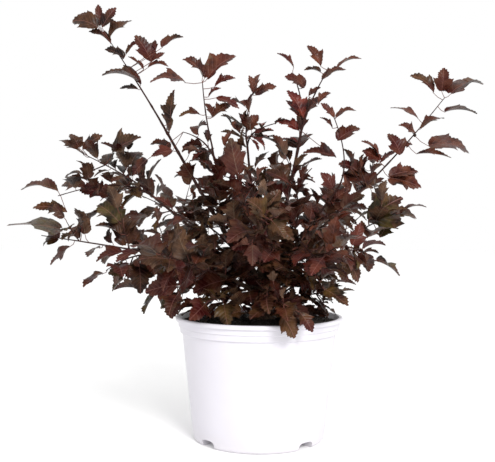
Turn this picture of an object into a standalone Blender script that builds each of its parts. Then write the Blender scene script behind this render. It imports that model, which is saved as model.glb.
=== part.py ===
"""Potted ninebark: a pot, its soil, a short stem, canes and masses of foliage.

Metres, +Z up. The pot stands on z = 0 with its axis through the origin, and the
plant's best side looks along -Y. Turns are degrees round +Z from +X.
"""

import math
import random
from collections import namedtuple

import bmesh
import bpy
from mathutils import Vector
from mathutils.bvhtree import BVHTree

# Pot: a tapered nursery pot with a rolled lip over a stepped band
POT_HEIGHT = 0.1735
POT_TOP_RADIUS = 0.1205
POT_FOOT_RADIUS = 0.0945
POT_WALL = 0.0022
POT_FLOOR = 0.0030
POT_SIDES = 32
LIP_DEPTH = 0.0065
BAND_DEPTH = 0.0220
FOOT_ROUND = 0.0050
DRAIN_COUNT = 4
DRAIN_WIDTH = 0.026
DRAIN_HEIGHT = 0.0105
DRAIN_REACH = 0.022
DRAIN_TURN = -48.0

# Soil and the short stem that stands on it
GAP = 0.0003
SOIL_BELOW_LIP = 0.0080
SOIL_CROWN = 0.0035
SOIL_FLAT = 0.036
STEM_X = 0.004
STEM_HEIGHT = 0.066
STEM_RADIUS = 0.0150
STEM_FLARE = 0.0065
STEM_SIDES = 14

# Canes and twigs
CANE_SIDES = 5
CANE_STEPS = 7
CANE_TAPER = 0.55
TWIG_SIDES = 3
STEM_STEPS = 6
TWIG_STEPS = 2
TWIG_RADIUS = 0.0018
TWIG_END = 0.0012
FORK_SHIFT = 0.0023
CLEARANCE = 0.0006

# Leaves
LEAF_THICK = 0.030
LEAF_ROOT = 0.0006
LEAF_FOLD = 0.085
LEAF_CURL = 0.060
LEAF_LOBE = (0.52, 0.29)
LEAF_SINUS = (0.68, 0.155)
LEAF_MIDDLE = 0.50
GOLDEN_TURN = math.radians(137.5)
LEAF_TRIES = 7
TIP_SHARE = 0.93
SPACE_MARGIN = 0.0010

Cane = namedtuple("Cane", "name turn height tip bow radius")
Mass = namedtuple("Mass", "name carrier tip reach leaves twigs leaf droop seed")
Seat = namedtuple("Seat", "turn height")

# Canes: turn and height of the foot on the short stem, the tip, how far the
# middle bows up as a share of the length, and the foot's radius
CANES = [
    Cane("cane_left_tall", 170, 0.046, (-0.141, 0.035, 0.447), 0.05, 0.0036),
    Cane("cane_centre_left", 184, 0.057, (-0.066, -0.015, 0.402), 0.03, 0.0032),
    Cane("cane_centre", 100, 0.057, (-0.018, 0.050, 0.424), 0.00, 0.0032),
    Cane("cane_right_centre", 18, 0.057, (0.060, 0.002, 0.440), 0.04, 0.0036),
    Cane("cane_right_thin", -20, 0.046, (0.104, -0.035, 0.348), 0.08, 0.0028),
    Cane("cane_right_tall", 12, 0.044, (0.148, 0.045, 0.352), 0.08, 0.0036),
    Cane("cane_right_out", -32, 0.030, (0.098, -0.045, 0.272), 0.10, 0.0030),
    Cane("cane_left_upper", 160, 0.037, (-0.165, 0.065, 0.350), 0.08, 0.0034),
    Cane("cane_left_out", 196, 0.036, (-0.145, -0.040, 0.262), 0.12, 0.0032),
    Cane("cane_back_left", 126, 0.034, (-0.105, 0.120, 0.305), 0.10, 0.0032),
    Cane("cane_front_left", 226, 0.030, (-0.058, -0.065, 0.238), 0.12, 0.0030),
    Cane("cane_back_right", 52, 0.036, (0.100, 0.115, 0.310), 0.10, 0.0032),
    Cane("cane_front_right", -58, 0.030, (0.048, -0.072, 0.242), 0.12, 0.0030),
    Cane("cane_front", 262, 0.046, (-0.004, -0.058, 0.268), 0.10, 0.0032),
    Cane("cane_heart_left", 205, 0.040, (-0.040, -0.010, 0.272), 0.06, 0.0030),
    Cane("cane_heart_right", -38, 0.057, (0.042, -0.018, 0.275), 0.05, 0.0030),
    Cane("cane_back", 96, 0.046, (0.000, 0.085, 0.300), 0.10, 0.0032),
]

# Masses: the cane or the seat on the short stem that carries each, the tip of
# its middle stem, the reach of its space, the leaves on that stem, its side
# twigs, the length of a leaf, how far leaves droop, and the seed
MASSES = [
    Mass("leaves_left_tall", "cane_left_tall", (-0.227, 0.055, 0.582), 0.105, 9, 2, 0.066, -0.15, 2011),
    Mass("leaves_centre_left", "cane_centre_left", (-0.081, -0.040, 0.502), 0.075, 7, 1, 0.062, -0.05, 3712),
    Mass("leaves_crown_left", "cane_centre_left", (-0.112, 0.010, 0.440), 0.060, 4, 1, 0.060, 0.05, 4144),
    Mass("leaves_centre", "cane_centre", (-0.012, 0.085, 0.510), 0.060, 5, 1, 0.054, 0.05, 1713),
    Mass("leaves_centre_low", "cane_centre", (0.024, 0.020, 0.455), 0.060, 4, 1, 0.058, 0.15, 2645),
    Mass("leaves_top_inner", "cane_right_centre", (0.050, 0.045, 0.535), 0.070, 6, 1, 0.056, -0.10, 2914),
    Mass("leaves_top_outer", "cane_right_centre", (0.095, -0.040, 0.522), 0.075, 7, 1, 0.060, -0.05, 1515),
    Mass("leaves_right_thin", "cane_right_thin", (0.100, -0.060, 0.452), 0.055, 6, 0, 0.046, 0.05, 3516),
    Mass("leaves_right_tall", "cane_right_tall", (0.288, 0.075, 0.504), 0.100, 10, 2, 0.066, 0.05, 1017),
    Mass("leaves_right_mid", "cane_right_tall", (0.182, 0.105, 0.405), 0.075, 5, 2, 0.060, 0.20, 4318),
    Mass("leaves_right_out", "cane_right_out", (0.186, -0.065, 0.322), 0.080, 7, 2, 0.066, 0.30, 2119),
    Mass("leaves_right_hang", "cane_right_out", (0.155, -0.060, 0.260), 0.065, 5, 1, 0.058, 0.60, 20),
    Mass("leaves_left_upper", "cane_left_upper", (-0.268, 0.085, 0.412), 0.085, 8, 2, 0.062, 0.15, 2121),
    Mass("leaves_left_mid", "cane_left_upper", (-0.296, 0.015, 0.346), 0.085, 8, 2, 0.064, 0.20, 3922),
    Mass("leaves_left_out", "cane_left_out", (-0.300, -0.055, 0.288), 0.085, 8, 1, 0.066, 0.15, 2823),
    Mass("leaves_left_hang", "cane_left_out", (-0.205, -0.085, 0.242), 0.070, 5, 1, 0.066, 0.60, 2924),
    Mass("leaves_back_left", "cane_back_left", (-0.210, 0.215, 0.360), 0.085, 8, 2, 0.064, 0.25, 2825),
    Mass("leaves_front_left", "cane_front_left", (-0.125, -0.165, 0.268), 0.085, 8, 3, 0.064, 0.45, 4326),
    Mass("leaves_back_right", "cane_back_right", (0.175, 0.205, 0.362), 0.085, 8, 2, 0.064, 0.25, 3327),
    Mass("leaves_front_right", "cane_front_right", (0.090, -0.175, 0.276), 0.080, 8, 3, 0.062, 0.45, 2028),
    Mass("leaves_front_high", "cane_front", (-0.030, -0.120, 0.365), 0.075, 7, 3, 0.060, 0.30, 3329),
    Mass("leaves_front_far", "cane_front", (0.015, -0.205, 0.312), 0.080, 8, 2, 0.062, 0.40, 2030),
    Mass("leaves_crown", "cane_heart_left", (-0.050, -0.025, 0.415), 0.075, 8, 3, 0.060, 0.15, 3131),
    Mass("leaves_heart_left", "cane_heart_left", (-0.118, -0.025, 0.322), 0.070, 6, 2, 0.060, 0.40, 732),
    Mass("leaves_crown_right", "cane_heart_right", (0.036, -0.050, 0.398), 0.075, 8, 2, 0.060, 0.20, 5433),
    Mass("leaves_heart_right", "cane_heart_right", (0.108, -0.065, 0.325), 0.070, 6, 2, 0.058, 0.35, 3334),
    Mass("leaves_back_high", "cane_back", (0.040, 0.125, 0.410), 0.080, 8, 2, 0.062, 0.20, 5035),
    Mass("leaves_back_far", "cane_back", (-0.030, 0.220, 0.340), 0.085, 8, 2, 0.064, 0.35, 2936),
    Mass("leaves_back_low", Seat(84, 0.016), (0.035, 0.165, 0.232), 0.080, 6, 1, 0.062, 0.40, 4137),
    Mass("leaves_back_low_left", Seat(138, 0.014), (-0.110, 0.105, 0.232), 0.075, 6, 1, 0.060, 0.40, 5138),
    Mass("leaves_back_low_right", Seat(34, 0.014), (0.125, 0.085, 0.236), 0.075, 6, 1, 0.060, 0.40, 1739),
    Mass("leaves_low_left", Seat(188, 0.014), (-0.168, -0.010, 0.212), 0.070, 6, 1, 0.058, 0.50, 3840),
    Mass("leaves_low_right", Seat(-12, 0.012), (0.108, -0.008, 0.206), 0.060, 5, 1, 0.052, 0.45, 841),
    Mass("leaves_rim_front", Seat(-72, 0.014), (0.030, -0.122, 0.202), 0.075, 6, 2, 0.060, 0.55, 1442),
    Mass("leaves_rim_left", Seat(240, 0.012), (-0.070, -0.095, 0.203), 0.070, 6, 1, 0.058, 0.55, 2043),
]

# Material colours, linear, with roughness
PLASTIC_WHITE = ((0.86, 0.85, 0.87, 1.0), 0.35)
SOIL_DARK = ((0.012, 0.008, 0.006, 1.0), 0.95)
BARK_BROWN = ((0.060, 0.030, 0.026, 1.0), 0.75)
LEAF_PURPLE = ((0.050, 0.018, 0.020, 1.0), 0.45)
LEAF_RED = ((0.085, 0.022, 0.024, 1.0), 0.45)
LEAF_OLIVE = ((0.070, 0.045, 0.020, 1.0), 0.50)
RED_HALF_WIDTH = 0.10
RED_FROM_HEIGHT = 0.38
OLIVE_FROM_WIDTH = 0.15
OLIVE_TO_HEIGHT = 0.37

SOIL_TOP = POT_HEIGHT - SOIL_BELOW_LIP
STEM_BOTTOM = SOIL_TOP + SOIL_CROWN + GAP
UP = Vector((0.0, 0.0, 1.0))


def make_material(name, tone):
    """A Principled material of one colour and roughness."""
    material = bpy.data.materials.new(name)
    material.use_nodes = True
    shader = material.node_tree.nodes["Principled BSDF"]
    shader.inputs["Base Color"].default_value = tone[0]
    shader.inputs["Roughness"].default_value = tone[1]
    material.diffuse_color = tone[0]
    return material


def add_object(name, shape, material=None):
    """An object from a shape, which is a list of points and a list of faces."""
    points, faces = shape
    mesh = bpy.data.meshes.new(name)
    mesh.from_pydata([tuple(p) for p in points], [], faces)
    built = bmesh.new()
    built.from_mesh(mesh)
    bmesh.ops.recalc_face_normals(built, faces=built.faces[:])
    built.to_mesh(mesh)
    built.free()
    item = bpy.data.objects.new(name, mesh)
    bpy.context.scene.collection.objects.link(item)
    if material:
        mesh.materials.append(material)
    return item


def hide_cutter(item):
    """Marks an object as a cutter, which isn't part of the model."""
    item.hide_render = True
    item.display_type = "WIRE"


def cut_by(item, cutter):
    """Takes the cutter's shape out of the item."""
    modifier = item.modifiers.new("cut_" + cutter.name, "BOOLEAN")
    modifier.operation = "DIFFERENCE"
    modifier.solver = "EXACT"
    modifier.object = cutter


def turned(profile, sides, centre=Vector((0.0, 0.0, 0.0))):
    """A closed turned shape from (radius, height) points that start and end on the axis."""
    points = [centre + UP * profile[0][1]]
    for radius, height in profile[1:-1]:
        for k in range(sides):
            angle = 2.0 * math.pi * k / sides
            points.append(centre + Vector((radius * math.cos(angle), radius * math.sin(angle), height)))
    points.append(centre + UP * profile[-1][1])
    last = len(points) - 1
    rings = len(profile) - 2
    faces = []
    for k in range(sides):
        after = (k + 1) % sides
        faces.append((0, 1 + after, 1 + k))
        for ring in range(rings - 1):
            low = 1 + ring * sides
            high = low + sides
            faces.append((low + k, low + after, high + after, high + k))
        top = 1 + (rings - 1) * sides
        faces.append((last, top + k, top + after))
    return points, faces


def arc(centre, radius, start, end, steps):
    """Points of an arc in the profile plane, angles in degrees from the radial direction."""
    points = []
    for k in range(steps + 1):
        angle = math.radians(start + (end - start) * k / steps)
        points.append((centre[0] + radius * math.cos(angle), centre[1] + radius * math.sin(angle)))
    return points


def pot_outside():
    """The pot's outer profile, from the foot up to the top of the lip."""
    band_low = POT_HEIGHT - BAND_DEPTH
    lip_low = POT_HEIGHT - LIP_DEPTH
    middle = 0.5 * (band_low + lip_low)
    foot = arc((POT_FOOT_RADIUS - FOOT_ROUND, FOOT_ROUND), FOOT_ROUND, -90.0, 0.0, 3)
    steps = [
        (POT_TOP_RADIUS - 0.0100, band_low - 0.0020),
        (POT_TOP_RADIUS - 0.0070, band_low),
        (POT_TOP_RADIUS - 0.0062, middle - 0.0005),
        (POT_TOP_RADIUS - 0.0045, middle + 0.0008),
        (POT_TOP_RADIUS - 0.0040, lip_low),
        (POT_TOP_RADIUS - 0.0008, lip_low + 0.0008),
    ]
    lip = arc((POT_TOP_RADIUS - 0.0025, POT_HEIGHT - 0.0025), 0.0025, 0.0, 90.0, 2)
    return foot + steps + lip


def pot_inside(inset):
    """The pot's inner profile from the lip down to the floor, moved inwards by the inset."""
    band_low = POT_HEIGHT - BAND_DEPTH
    shoulder = DRAIN_HEIGHT + POT_WALL
    return [
        (POT_TOP_RADIUS - 0.0052 - inset, POT_HEIGHT - 0.0004),
        (POT_TOP_RADIUS - 0.0070 - inset, POT_HEIGHT - 0.0040),
        (POT_TOP_RADIUS - 0.0088 - inset, band_low + 0.0030),
        (POT_TOP_RADIUS - 0.0125 - inset, band_low - 0.0030),
        (POT_FOOT_RADIUS - POT_WALL - inset, shoulder + inset),
        (POT_FOOT_RADIUS - DRAIN_REACH - POT_WALL - inset, shoulder + inset),
        (POT_FOOT_RADIUS - DRAIN_REACH - 3.0 * POT_WALL - inset, POT_FLOOR + inset),
    ]


def make_pot(material):
    """The pot with its stepped band, rolled lip and arched drain notches round the foot."""
    profile = [(0.0, 0.0)] + pot_outside() + pot_inside(0.0) + [(0.0, POT_FLOOR)]
    pot = add_object("pot", turned(profile, POT_SIDES), material)
    for k in range(DRAIN_COUNT):
        cutter = make_drain_cutter(k)
        cut_by(pot, cutter)
    pot.data.shade_smooth()
    pot.data.set_sharp_from_angle(angle=math.radians(35.0))
    return pot


def make_drain_cutter(index):
    """An arched bar that cuts one drain notch into the foot from outside."""
    steps = 6
    outline = [(-0.5 * DRAIN_WIDTH, -0.002), (0.5 * DRAIN_WIDTH, -0.002)]
    for k in range(steps + 1):
        angle = math.pi * k / steps
        across = 0.5 * DRAIN_WIDTH * math.copysign(abs(math.cos(angle)) ** 0.6, math.cos(angle))
        outline.append((across, DRAIN_HEIGHT * (0.35 + 0.65 * math.sin(angle) ** 0.8)))
    turn = math.radians(DRAIN_TURN - 90.0 + 360.0 * index / DRAIN_COUNT)
    out = Vector((math.cos(turn), math.sin(turn), 0.0))
    side = Vector((-out.y, out.x, 0.0))
    near = POT_FOOT_RADIUS - DRAIN_REACH
    far = POT_FOOT_RADIUS + 0.010
    points = [out * near + side * a + UP * h for a, h in outline]
    points += [out * far + side * a + UP * h for a, h in outline]
    count = len(outline)
    faces = [tuple(range(count)), tuple(range(2 * count - 1, count - 1, -1))]
    for k in range(count):
        after = (k + 1) % count
        faces.append((k, after, count + after, count + k))
    cutter = add_object("drain_cutter_%d" % index, (points, faces))
    hide_cutter(cutter)
    return cutter


def make_soil(material):
    """The soil that fills the pot, a little mounded at the top."""
    inside = [point for point in pot_inside(GAP + 0.0001) if point[1] < SOIL_TOP - 0.001]
    edge = POT_TOP_RADIUS - 0.0084 - GAP
    profile = [(0.0, POT_FLOOR + GAP)] + inside[::-1]
    profile += [(edge, SOIL_TOP), (SOIL_FLAT, SOIL_TOP + SOIL_CROWN), (0.0, SOIL_TOP + SOIL_CROWN)]
    return add_object("soil", turned(profile, POT_SIDES), material)


def stem_profile(grow):
    """The short stem's profile, grown outwards by the given amount."""
    return [
        (0.0, -grow),
        (STEM_RADIUS + STEM_FLARE + grow, -grow),
        (STEM_RADIUS + 0.35 * STEM_FLARE + grow, 0.006),
        (STEM_RADIUS + grow, 0.016),
        (0.92 * STEM_RADIUS + grow, 0.72 * STEM_HEIGHT),
        (0.70 * STEM_RADIUS + grow, STEM_HEIGHT - 0.004 + grow),
        (0.42 * STEM_RADIUS + grow, STEM_HEIGHT + grow),
        (0.0, STEM_HEIGHT + grow),
    ]


def make_stem(material):
    """The short flared stem, flat cut at the soil."""
    return add_object("stem", turned(stem_profile(0.0), STEM_SIDES, stem_foot()), material)


def stem_foot():
    """The middle of the flat cut under the short stem."""
    return Vector((STEM_X, 0.0, STEM_BOTTOM))


def seat_point(seat):
    """A point inside the short stem, under the place where a limb leaves it."""
    turn = math.radians(seat.turn)
    height = min(seat.height, 0.86 * STEM_HEIGHT)
    inner = 0.45 * STEM_RADIUS
    return stem_foot() + Vector((inner * math.cos(turn), inner * math.sin(turn), height))


def bent(start, knee, end, steps):
    """Points of a smooth bend from start to end that leans towards the knee."""
    points = []
    for k in range(steps + 1):
        share = k / steps
        points.append(start.lerp(knee, share).lerp(knee.lerp(end, share), share))
    return points


def cane_path(cane, steps=CANE_STEPS):
    """The cane's middle line from inside the short stem to its tip."""
    start = seat_point(Seat(cane.turn, cane.height))
    end = Vector(cane.tip)
    span = end - start
    out = Vector((math.cos(math.radians(cane.turn)), math.sin(math.radians(cane.turn)), 0.0))
    knee = start.lerp(end, 0.42) + UP * (cane.bow * span.length) + out * (0.04 * span.length)
    return bent(start, knee, end, steps)


def heading(points):
    """The direction in which a path ends."""
    return (points[-1] - points[-2]).normalized()


def mass_path(mass, steps=STEM_STEPS):
    """The middle stem of a mass, from its carrier to its tip."""
    end = Vector(mass.tip)
    if isinstance(mass.carrier, Seat):
        start = seat_point(mass.carrier)
        span = end - start
        knee = start.lerp(end, 0.5) + UP * (0.16 * span.length)
        return bent(start, knee, end, steps)
    path = cane_path(CANE_BY_NAME[mass.carrier], 4 * CANE_STEPS)
    along = heading(path)
    start = path[-1] + along * GAP
    partner = [other for other in MASSES if other.carrier == mass.carrier and other.name != mass.name]
    if partner:
        apart = end - Vector(partner[0].tip)
        apart -= along * apart.dot(along)
        start += apart.normalized() * FORK_SHIFT
    knee = start + along * (0.42 * (end - start).length)
    return bent(start, knee, end, steps)


def tube(points, start_radius, end_radius, sides, roll=0.0):
    """A tapering tube with flat ends along a path, as points and faces."""
    tangents = []
    for k in range(len(points)):
        before = points[max(k - 1, 0)]
        after = points[min(k + 1, len(points) - 1)]
        tangents.append((after - before).normalized())
    tangents[0] = (points[1] - points[0]).normalized()
    across = tangents[0].orthogonal().normalized()
    verts = []
    faces = []
    for k, point in enumerate(points):
        across = (across - tangents[k] * across.dot(tangents[k])).normalized()
        other = tangents[k].cross(across)
        share = k / (len(points) - 1)
        radius = start_radius + (end_radius - start_radius) * share
        for j in range(sides):
            angle = roll + 2.0 * math.pi * j / sides
            verts.append(point + (across * math.cos(angle) + other * math.sin(angle)) * radius)
    for k in range(len(points) - 1):
        for j in range(sides):
            after = (j + 1) % sides
            low = k * sides
            high = low + sides
            faces.append((low + j, low + after, high + after, high + j))
    faces.append(tuple(range(sides - 1, -1, -1)))
    faces.append(tuple(range(len(verts) - sides, len(verts))))
    return verts, faces


def cane_tube(cane, grow=0.0):
    """The cane as a tapering tube."""
    end_radius = cane.radius * CANE_TAPER + grow
    return tube(cane_path(cane), cane.radius + grow, end_radius, CANE_SIDES)


def leaf_shape(root, along, face, length):
    """A three-lobed leaf: its root, its direction, the way it faces, and its length."""
    side = face.cross(along).normalized()
    half = 0.5 * LEAF_THICK * length

    def place(ahead, across, lift):
        return root + along * (ahead * length) + side * (across * length) + face * lift

    lobe_lift = LEAF_FOLD * length
    sinus_lift = 0.45 * lobe_lift
    verts = [
        place(0.0, 0.0, 0.8 * LEAF_ROOT),
        place(0.0, LEAF_ROOT / length, -0.4 * LEAF_ROOT),
        place(LEAF_LOBE[0], LEAF_LOBE[1], lobe_lift),
        place(LEAF_SINUS[0], LEAF_SINUS[1], sinus_lift),
        place(1.0, 0.0, -LEAF_CURL * length),
        place(LEAF_SINUS[0], -LEAF_SINUS[1], sinus_lift),
        place(LEAF_LOBE[0], -LEAF_LOBE[1], lobe_lift),
        place(0.0, -LEAF_ROOT / length, -0.4 * LEAF_ROOT),
        place(LEAF_MIDDLE, 0.0, half),
        place(LEAF_MIDDLE, 0.0, -half),
    ]
    top_ring = [0, 1, 2, 3, 4, 5, 6, 7]
    low_ring = [1, 2, 3, 4, 5, 6, 7]
    faces = [(0, 7, 1)]
    for k, corner in enumerate(top_ring):
        faces.append((8, top_ring[(k + 1) % len(top_ring)], corner))
    for k, corner in enumerate(low_ring):
        faces.append((9, corner, low_ring[(k + 1) % len(low_ring)]))
    return verts, faces


def nearest(point, path):
    """The distance from a point to a path."""
    best = 1.0e9
    for a, b in zip(path[:-1], path[1:]):
        line = b - a
        share = min(1.0, max(0.0, (point - a).dot(line) / line.length_squared))
        best = min(best, (point - a - line * share).length)
    return best


class Space:
    """The space that a mass keeps to: nearer to its own stem than to any other, within reach."""

    def __init__(self, mass):
        self.own = mass_path(mass)
        self.reach = mass.reach
        self.others = [mass_path(other) for other in MASSES if other.name != mass.name]

    def holds(self, verts):
        """Whether all points lie in the space."""
        for point in verts:
            own = nearest(point, self.own)
            if own > self.reach:
                return False
            limit = own + 2.0 * SPACE_MARGIN
            if any(nearest(point, path) < limit for path in self.others):
                return False
        return True


def tree_of(shape):
    """A search tree of a shape's faces."""
    return BVHTree.FromPolygons([tuple(p) for p in shape[0]], shape[1])


def joined(shapes):
    """Several shapes as one list of points and faces."""
    verts = []
    faces = []
    for shape in shapes:
        start = len(verts)
        verts.extend(shape[0])
        faces.extend(tuple(start + k for k in face) for face in shape[1])
    return verts, faces


def limb_keepout():
    """Canes, short stem, pot and soil, a little grown, which no twig or leaf may touch."""
    shapes = [cane_tube(cane, CLEARANCE) for cane in CANES]
    shapes.append(turned(stem_profile(CLEARANCE), STEM_SIDES, stem_foot()))
    grow = 2.0 * CLEARANCE
    around = [
        (0.0, POT_FLOOR),
        (POT_FOOT_RADIUS + grow, POT_FLOOR),
        (POT_TOP_RADIUS - 0.0070 + grow, POT_HEIGHT - BAND_DEPTH - grow),
        (POT_TOP_RADIUS + grow, POT_HEIGHT - LIP_DEPTH - grow),
        (POT_TOP_RADIUS + grow, POT_HEIGHT + grow),
        (POT_TOP_RADIUS - 0.0060 - grow, POT_HEIGHT + grow),
        (POT_TOP_RADIUS - 0.0084 - grow, SOIL_TOP + grow),
        (SOIL_FLAT, SOIL_TOP + SOIL_CROWN + grow),
        (0.0, SOIL_TOP + SOIL_CROWN + grow),
    ]
    shapes.append(turned(around, POT_SIDES))
    return tree_of(joined(shapes))


def leaf_pose(tangent, turn, share, droop, chance):
    """The direction and facing of a leaf or twig that leaves a stem at a turn round it."""
    across = tangent.cross(UP)
    if across.length < 0.15:
        across = tangent.cross(Vector((1.0, 0.0, 0.0)))
    across.normalize()
    other = across.cross(tangent)
    radial = across * math.cos(turn) + other * math.sin(turn)
    spread = 74.0 - 14.0 * share - (46.0 if share > TIP_SHARE else 0.0)
    spread = math.radians(spread + chance.uniform(-8.0, 8.0))
    along = tangent * math.cos(spread) + radial * math.sin(spread)
    along += UP * (0.18 - droop * (1.25 - share))
    along.normalize()
    face = UP * 0.8 + tangent * 0.55 + radial * 0.25
    face += Vector([chance.uniform(-0.45, 0.45) for _ in range(3)])
    face -= along * face.dot(along)
    return along, face.normalized()


def point_along(path, share):
    """The point and direction at a share of a path."""
    place = share * (len(path) - 1)
    k = min(int(place), len(path) - 2)
    return path[k].lerp(path[k + 1], place - k), (path[k + 1] - path[k]).normalized()


class Grower:
    """Grows the twigs and leaves of one mass by a seeded rule."""

    def __init__(self, mass, keepout, neighbours):
        self.mass = mass
        self.chance = random.Random(mass.seed)
        self.space = Space(mass)
        self.keepout = keepout
        self.neighbours = neighbours
        self.path = mass_path(mass)
        self.pieces = [tube(self.path, TWIG_RADIUS, TWIG_END, TWIG_SIDES)]
        self.trees = [tree_of(self.pieces[0])]

    def fits(self, shape, rooted_on):
        """Whether a new piece keeps to the space and touches only what it is rooted on."""
        if not self.space.holds(shape[0]):
            return False
        tree = tree_of(shape)
        if tree.overlap(self.keepout):
            return False
        if any(tree.overlap(other) for other in self.neighbours):
            return False
        return not any(tree.overlap(other) for k, other in enumerate(self.trees) if k != rooted_on)

    def keep(self, shape):
        """Keeps a piece and gives its number."""
        self.pieces.append(shape)
        self.trees.append(tree_of(shape))
        return len(self.pieces) - 1

    def grow_leaf(self, path, share, turn, length, rooted_on):
        """One leaf at a share of a path, turned a little further until it fits."""
        root, tangent = point_along(path, share)
        for attempt in range(LEAF_TRIES):
            swing = turn + 0.55 * attempt * (-1) ** attempt
            along, face = leaf_pose(tangent, swing, share, self.mass.droop, self.chance)
            shape = leaf_shape(root, along, face, length * (1.0 - 0.04 * attempt))
            if self.fits(shape, rooted_on):
                self.keep(shape)
                return

    def grow_leaves(self, path, first, count, size, rooted_on):
        """Leaves that alternate along a path, with one at its tip."""
        phase = self.chance.uniform(0.0, 2.0 * math.pi)
        for k in range(count):
            share = first + (0.97 - first) * k / max(count - 1, 1)
            length = size * (1.08 - 0.22 * share) * self.chance.uniform(0.90, 1.10)
            self.grow_leaf(path, share, phase + k * GOLDEN_TURN, length, rooted_on)

    def grow_twig(self, share, turn):
        """A side twig with its leaves."""
        root, tangent = point_along(self.path, share)
        whole = (self.path[-1] - self.path[0]).length
        for attempt in range(LEAF_TRIES):
            along, _ = leaf_pose(tangent, turn + 0.7 * attempt, share, 0.3 * self.mass.droop, self.chance)
            length = min(0.34 * whole, 0.62 * self.mass.reach) * (1.0 - 0.07 * attempt)
            end = root + along * length
            path = bent(root, root.lerp(end, 0.5) - UP * 0.08 * length, end, TWIG_STEPS)
            shape = tube(path, 0.8 * TWIG_RADIUS, TWIG_END, TWIG_SIDES, 0.4)
            if self.fits(shape, 0):
                number = self.keep(shape)
                self.grow_leaves(path, 0.45, 3, 0.92 * self.mass.leaf, number)
                return

    def grow(self):
        """All pieces of the mass."""
        first = 0.34 if isinstance(self.mass.carrier, Seat) else 0.16
        turn = self.chance.uniform(0.0, 2.0 * math.pi)
        for k in range(self.mass.twigs):
            self.grow_twig(first + 0.10 + 0.34 * k / max(self.mass.twigs, 1), turn + 2.4 * k)
        self.grow_leaves(self.path, first, self.mass.leaves, self.mass.leaf, 0)
        return self.pieces


def fuse(name, pieces, material):
    """Joins the pieces of a mass into one body by one Boolean union on a collection."""
    base = add_object(name, pieces[0], material)
    others = bpy.data.collections.new(name + "_pieces")
    bpy.context.scene.collection.children.link(others)
    for k, piece in enumerate(pieces[1:]):
        item = add_object("%s_piece_%d" % (name, k), piece)
        bpy.context.scene.collection.objects.unlink(item)
        others.objects.link(item)
    modifier = base.modifiers.new("fuse", "BOOLEAN")
    modifier.operation = "UNION"
    modifier.solver = "EXACT"
    modifier.operand_type = "COLLECTION"
    modifier.collection = others
    evaluated = base.evaluated_get(bpy.context.evaluated_depsgraph_get())
    mesh = bpy.data.meshes.new_from_object(evaluated)
    base.modifiers.clear()
    base.data = mesh
    for item in list(others.objects):
        bpy.data.objects.remove(item)
    bpy.data.collections.remove(others)
    keep_largest(mesh)
    mesh.materials.clear()
    mesh.materials.append(material)
    return base


def keep_largest(mesh):
    """Drops loose scraps and sealed hollows, and splits faces into triangles."""
    built = bmesh.new()
    built.from_mesh(mesh)
    unseen = set(built.verts)
    groups = []
    while unseen:
        group = {unseen.pop()}
        front = list(group)
        while front:
            vert = front.pop()
            for edge in vert.link_edges:
                other = edge.other_vert(vert)
                if other in unseen:
                    unseen.discard(other)
                    group.add(other)
                    front.append(other)
        groups.append(group)
    groups.sort(key=len)
    for group in groups[:-1]:
        bmesh.ops.delete(built, geom=list(group), context="VERTS")
    bmesh.ops.triangulate(built, faces=built.faces[:])
    built.to_mesh(mesh)
    built.free()


def make_canes(material, seat_cutter):
    """The canes, each cut off clear of the short stem."""
    for cane in CANES:
        item = add_object(cane.name, cane_tube(cane), material)
        cut_by(item, seat_cutter)
        item.data.shade_smooth()
        item.data.set_sharp_from_angle(angle=math.radians(50.0))


def tone_name(mass):
    """The tone of a mass: red high in the middle, olive low at the sides, else purple."""
    across = abs(mass.tip[0])
    height = mass.tip[2]
    if across < RED_HALF_WIDTH and height > RED_FROM_HEIGHT:
        return "leaf_red"
    if across > OLIVE_FROM_WIDTH and height < OLIVE_TO_HEIGHT:
        return "leaf_olive"
    return "leaf_purple"


def make_masses(materials, seat_cutter):
    """The masses of foliage, in the order of the table."""
    keepout = limb_keepout()
    neighbours = []
    for mass in MASSES:
        pieces = Grower(mass, keepout, neighbours).grow()
        neighbours.append(tree_of(joined(pieces)))
        item = fuse(mass.name, pieces, materials[tone_name(mass)])
        if isinstance(mass.carrier, Seat):
            cut_by(item, seat_cutter)


CANE_BY_NAME = {cane.name: cane for cane in CANES}


def main():
    for item in list(bpy.data.objects):
        bpy.data.objects.remove(item)
    make_pot(make_material("pot_plastic", PLASTIC_WHITE))
    make_soil(make_material("soil", SOIL_DARK))
    bark = make_material("bark", BARK_BROWN)
    make_stem(bark)
    seat_cutter = add_object("seat_cutter", turned(stem_profile(GAP), STEM_SIDES, stem_foot()))
    hide_cutter(seat_cutter)
    make_canes(bark, seat_cutter)
    tones = {"leaf_purple": LEAF_PURPLE, "leaf_red": LEAF_RED, "leaf_olive": LEAF_OLIVE}
    make_masses({name: make_material(name, tone) for name, tone in tones.items()}, seat_cutter)


main()
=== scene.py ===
"""Looks of the potted ninebark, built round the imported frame.

The canes, twigs and main leaves are grown again here by the rule of the part's
source, then carried on to finer twigs and smaller leaves within the same reach.
The leaves that stand out in the photo are set one by one instead (FEATURES), and
six open shoots show only those.
"""

import math
import random
from collections import namedtuple

import bmesh
import bpy
import numpy as np
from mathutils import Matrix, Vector
from mathutils.bvhtree import BVHTree
from mathutils.noise import noise


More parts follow.
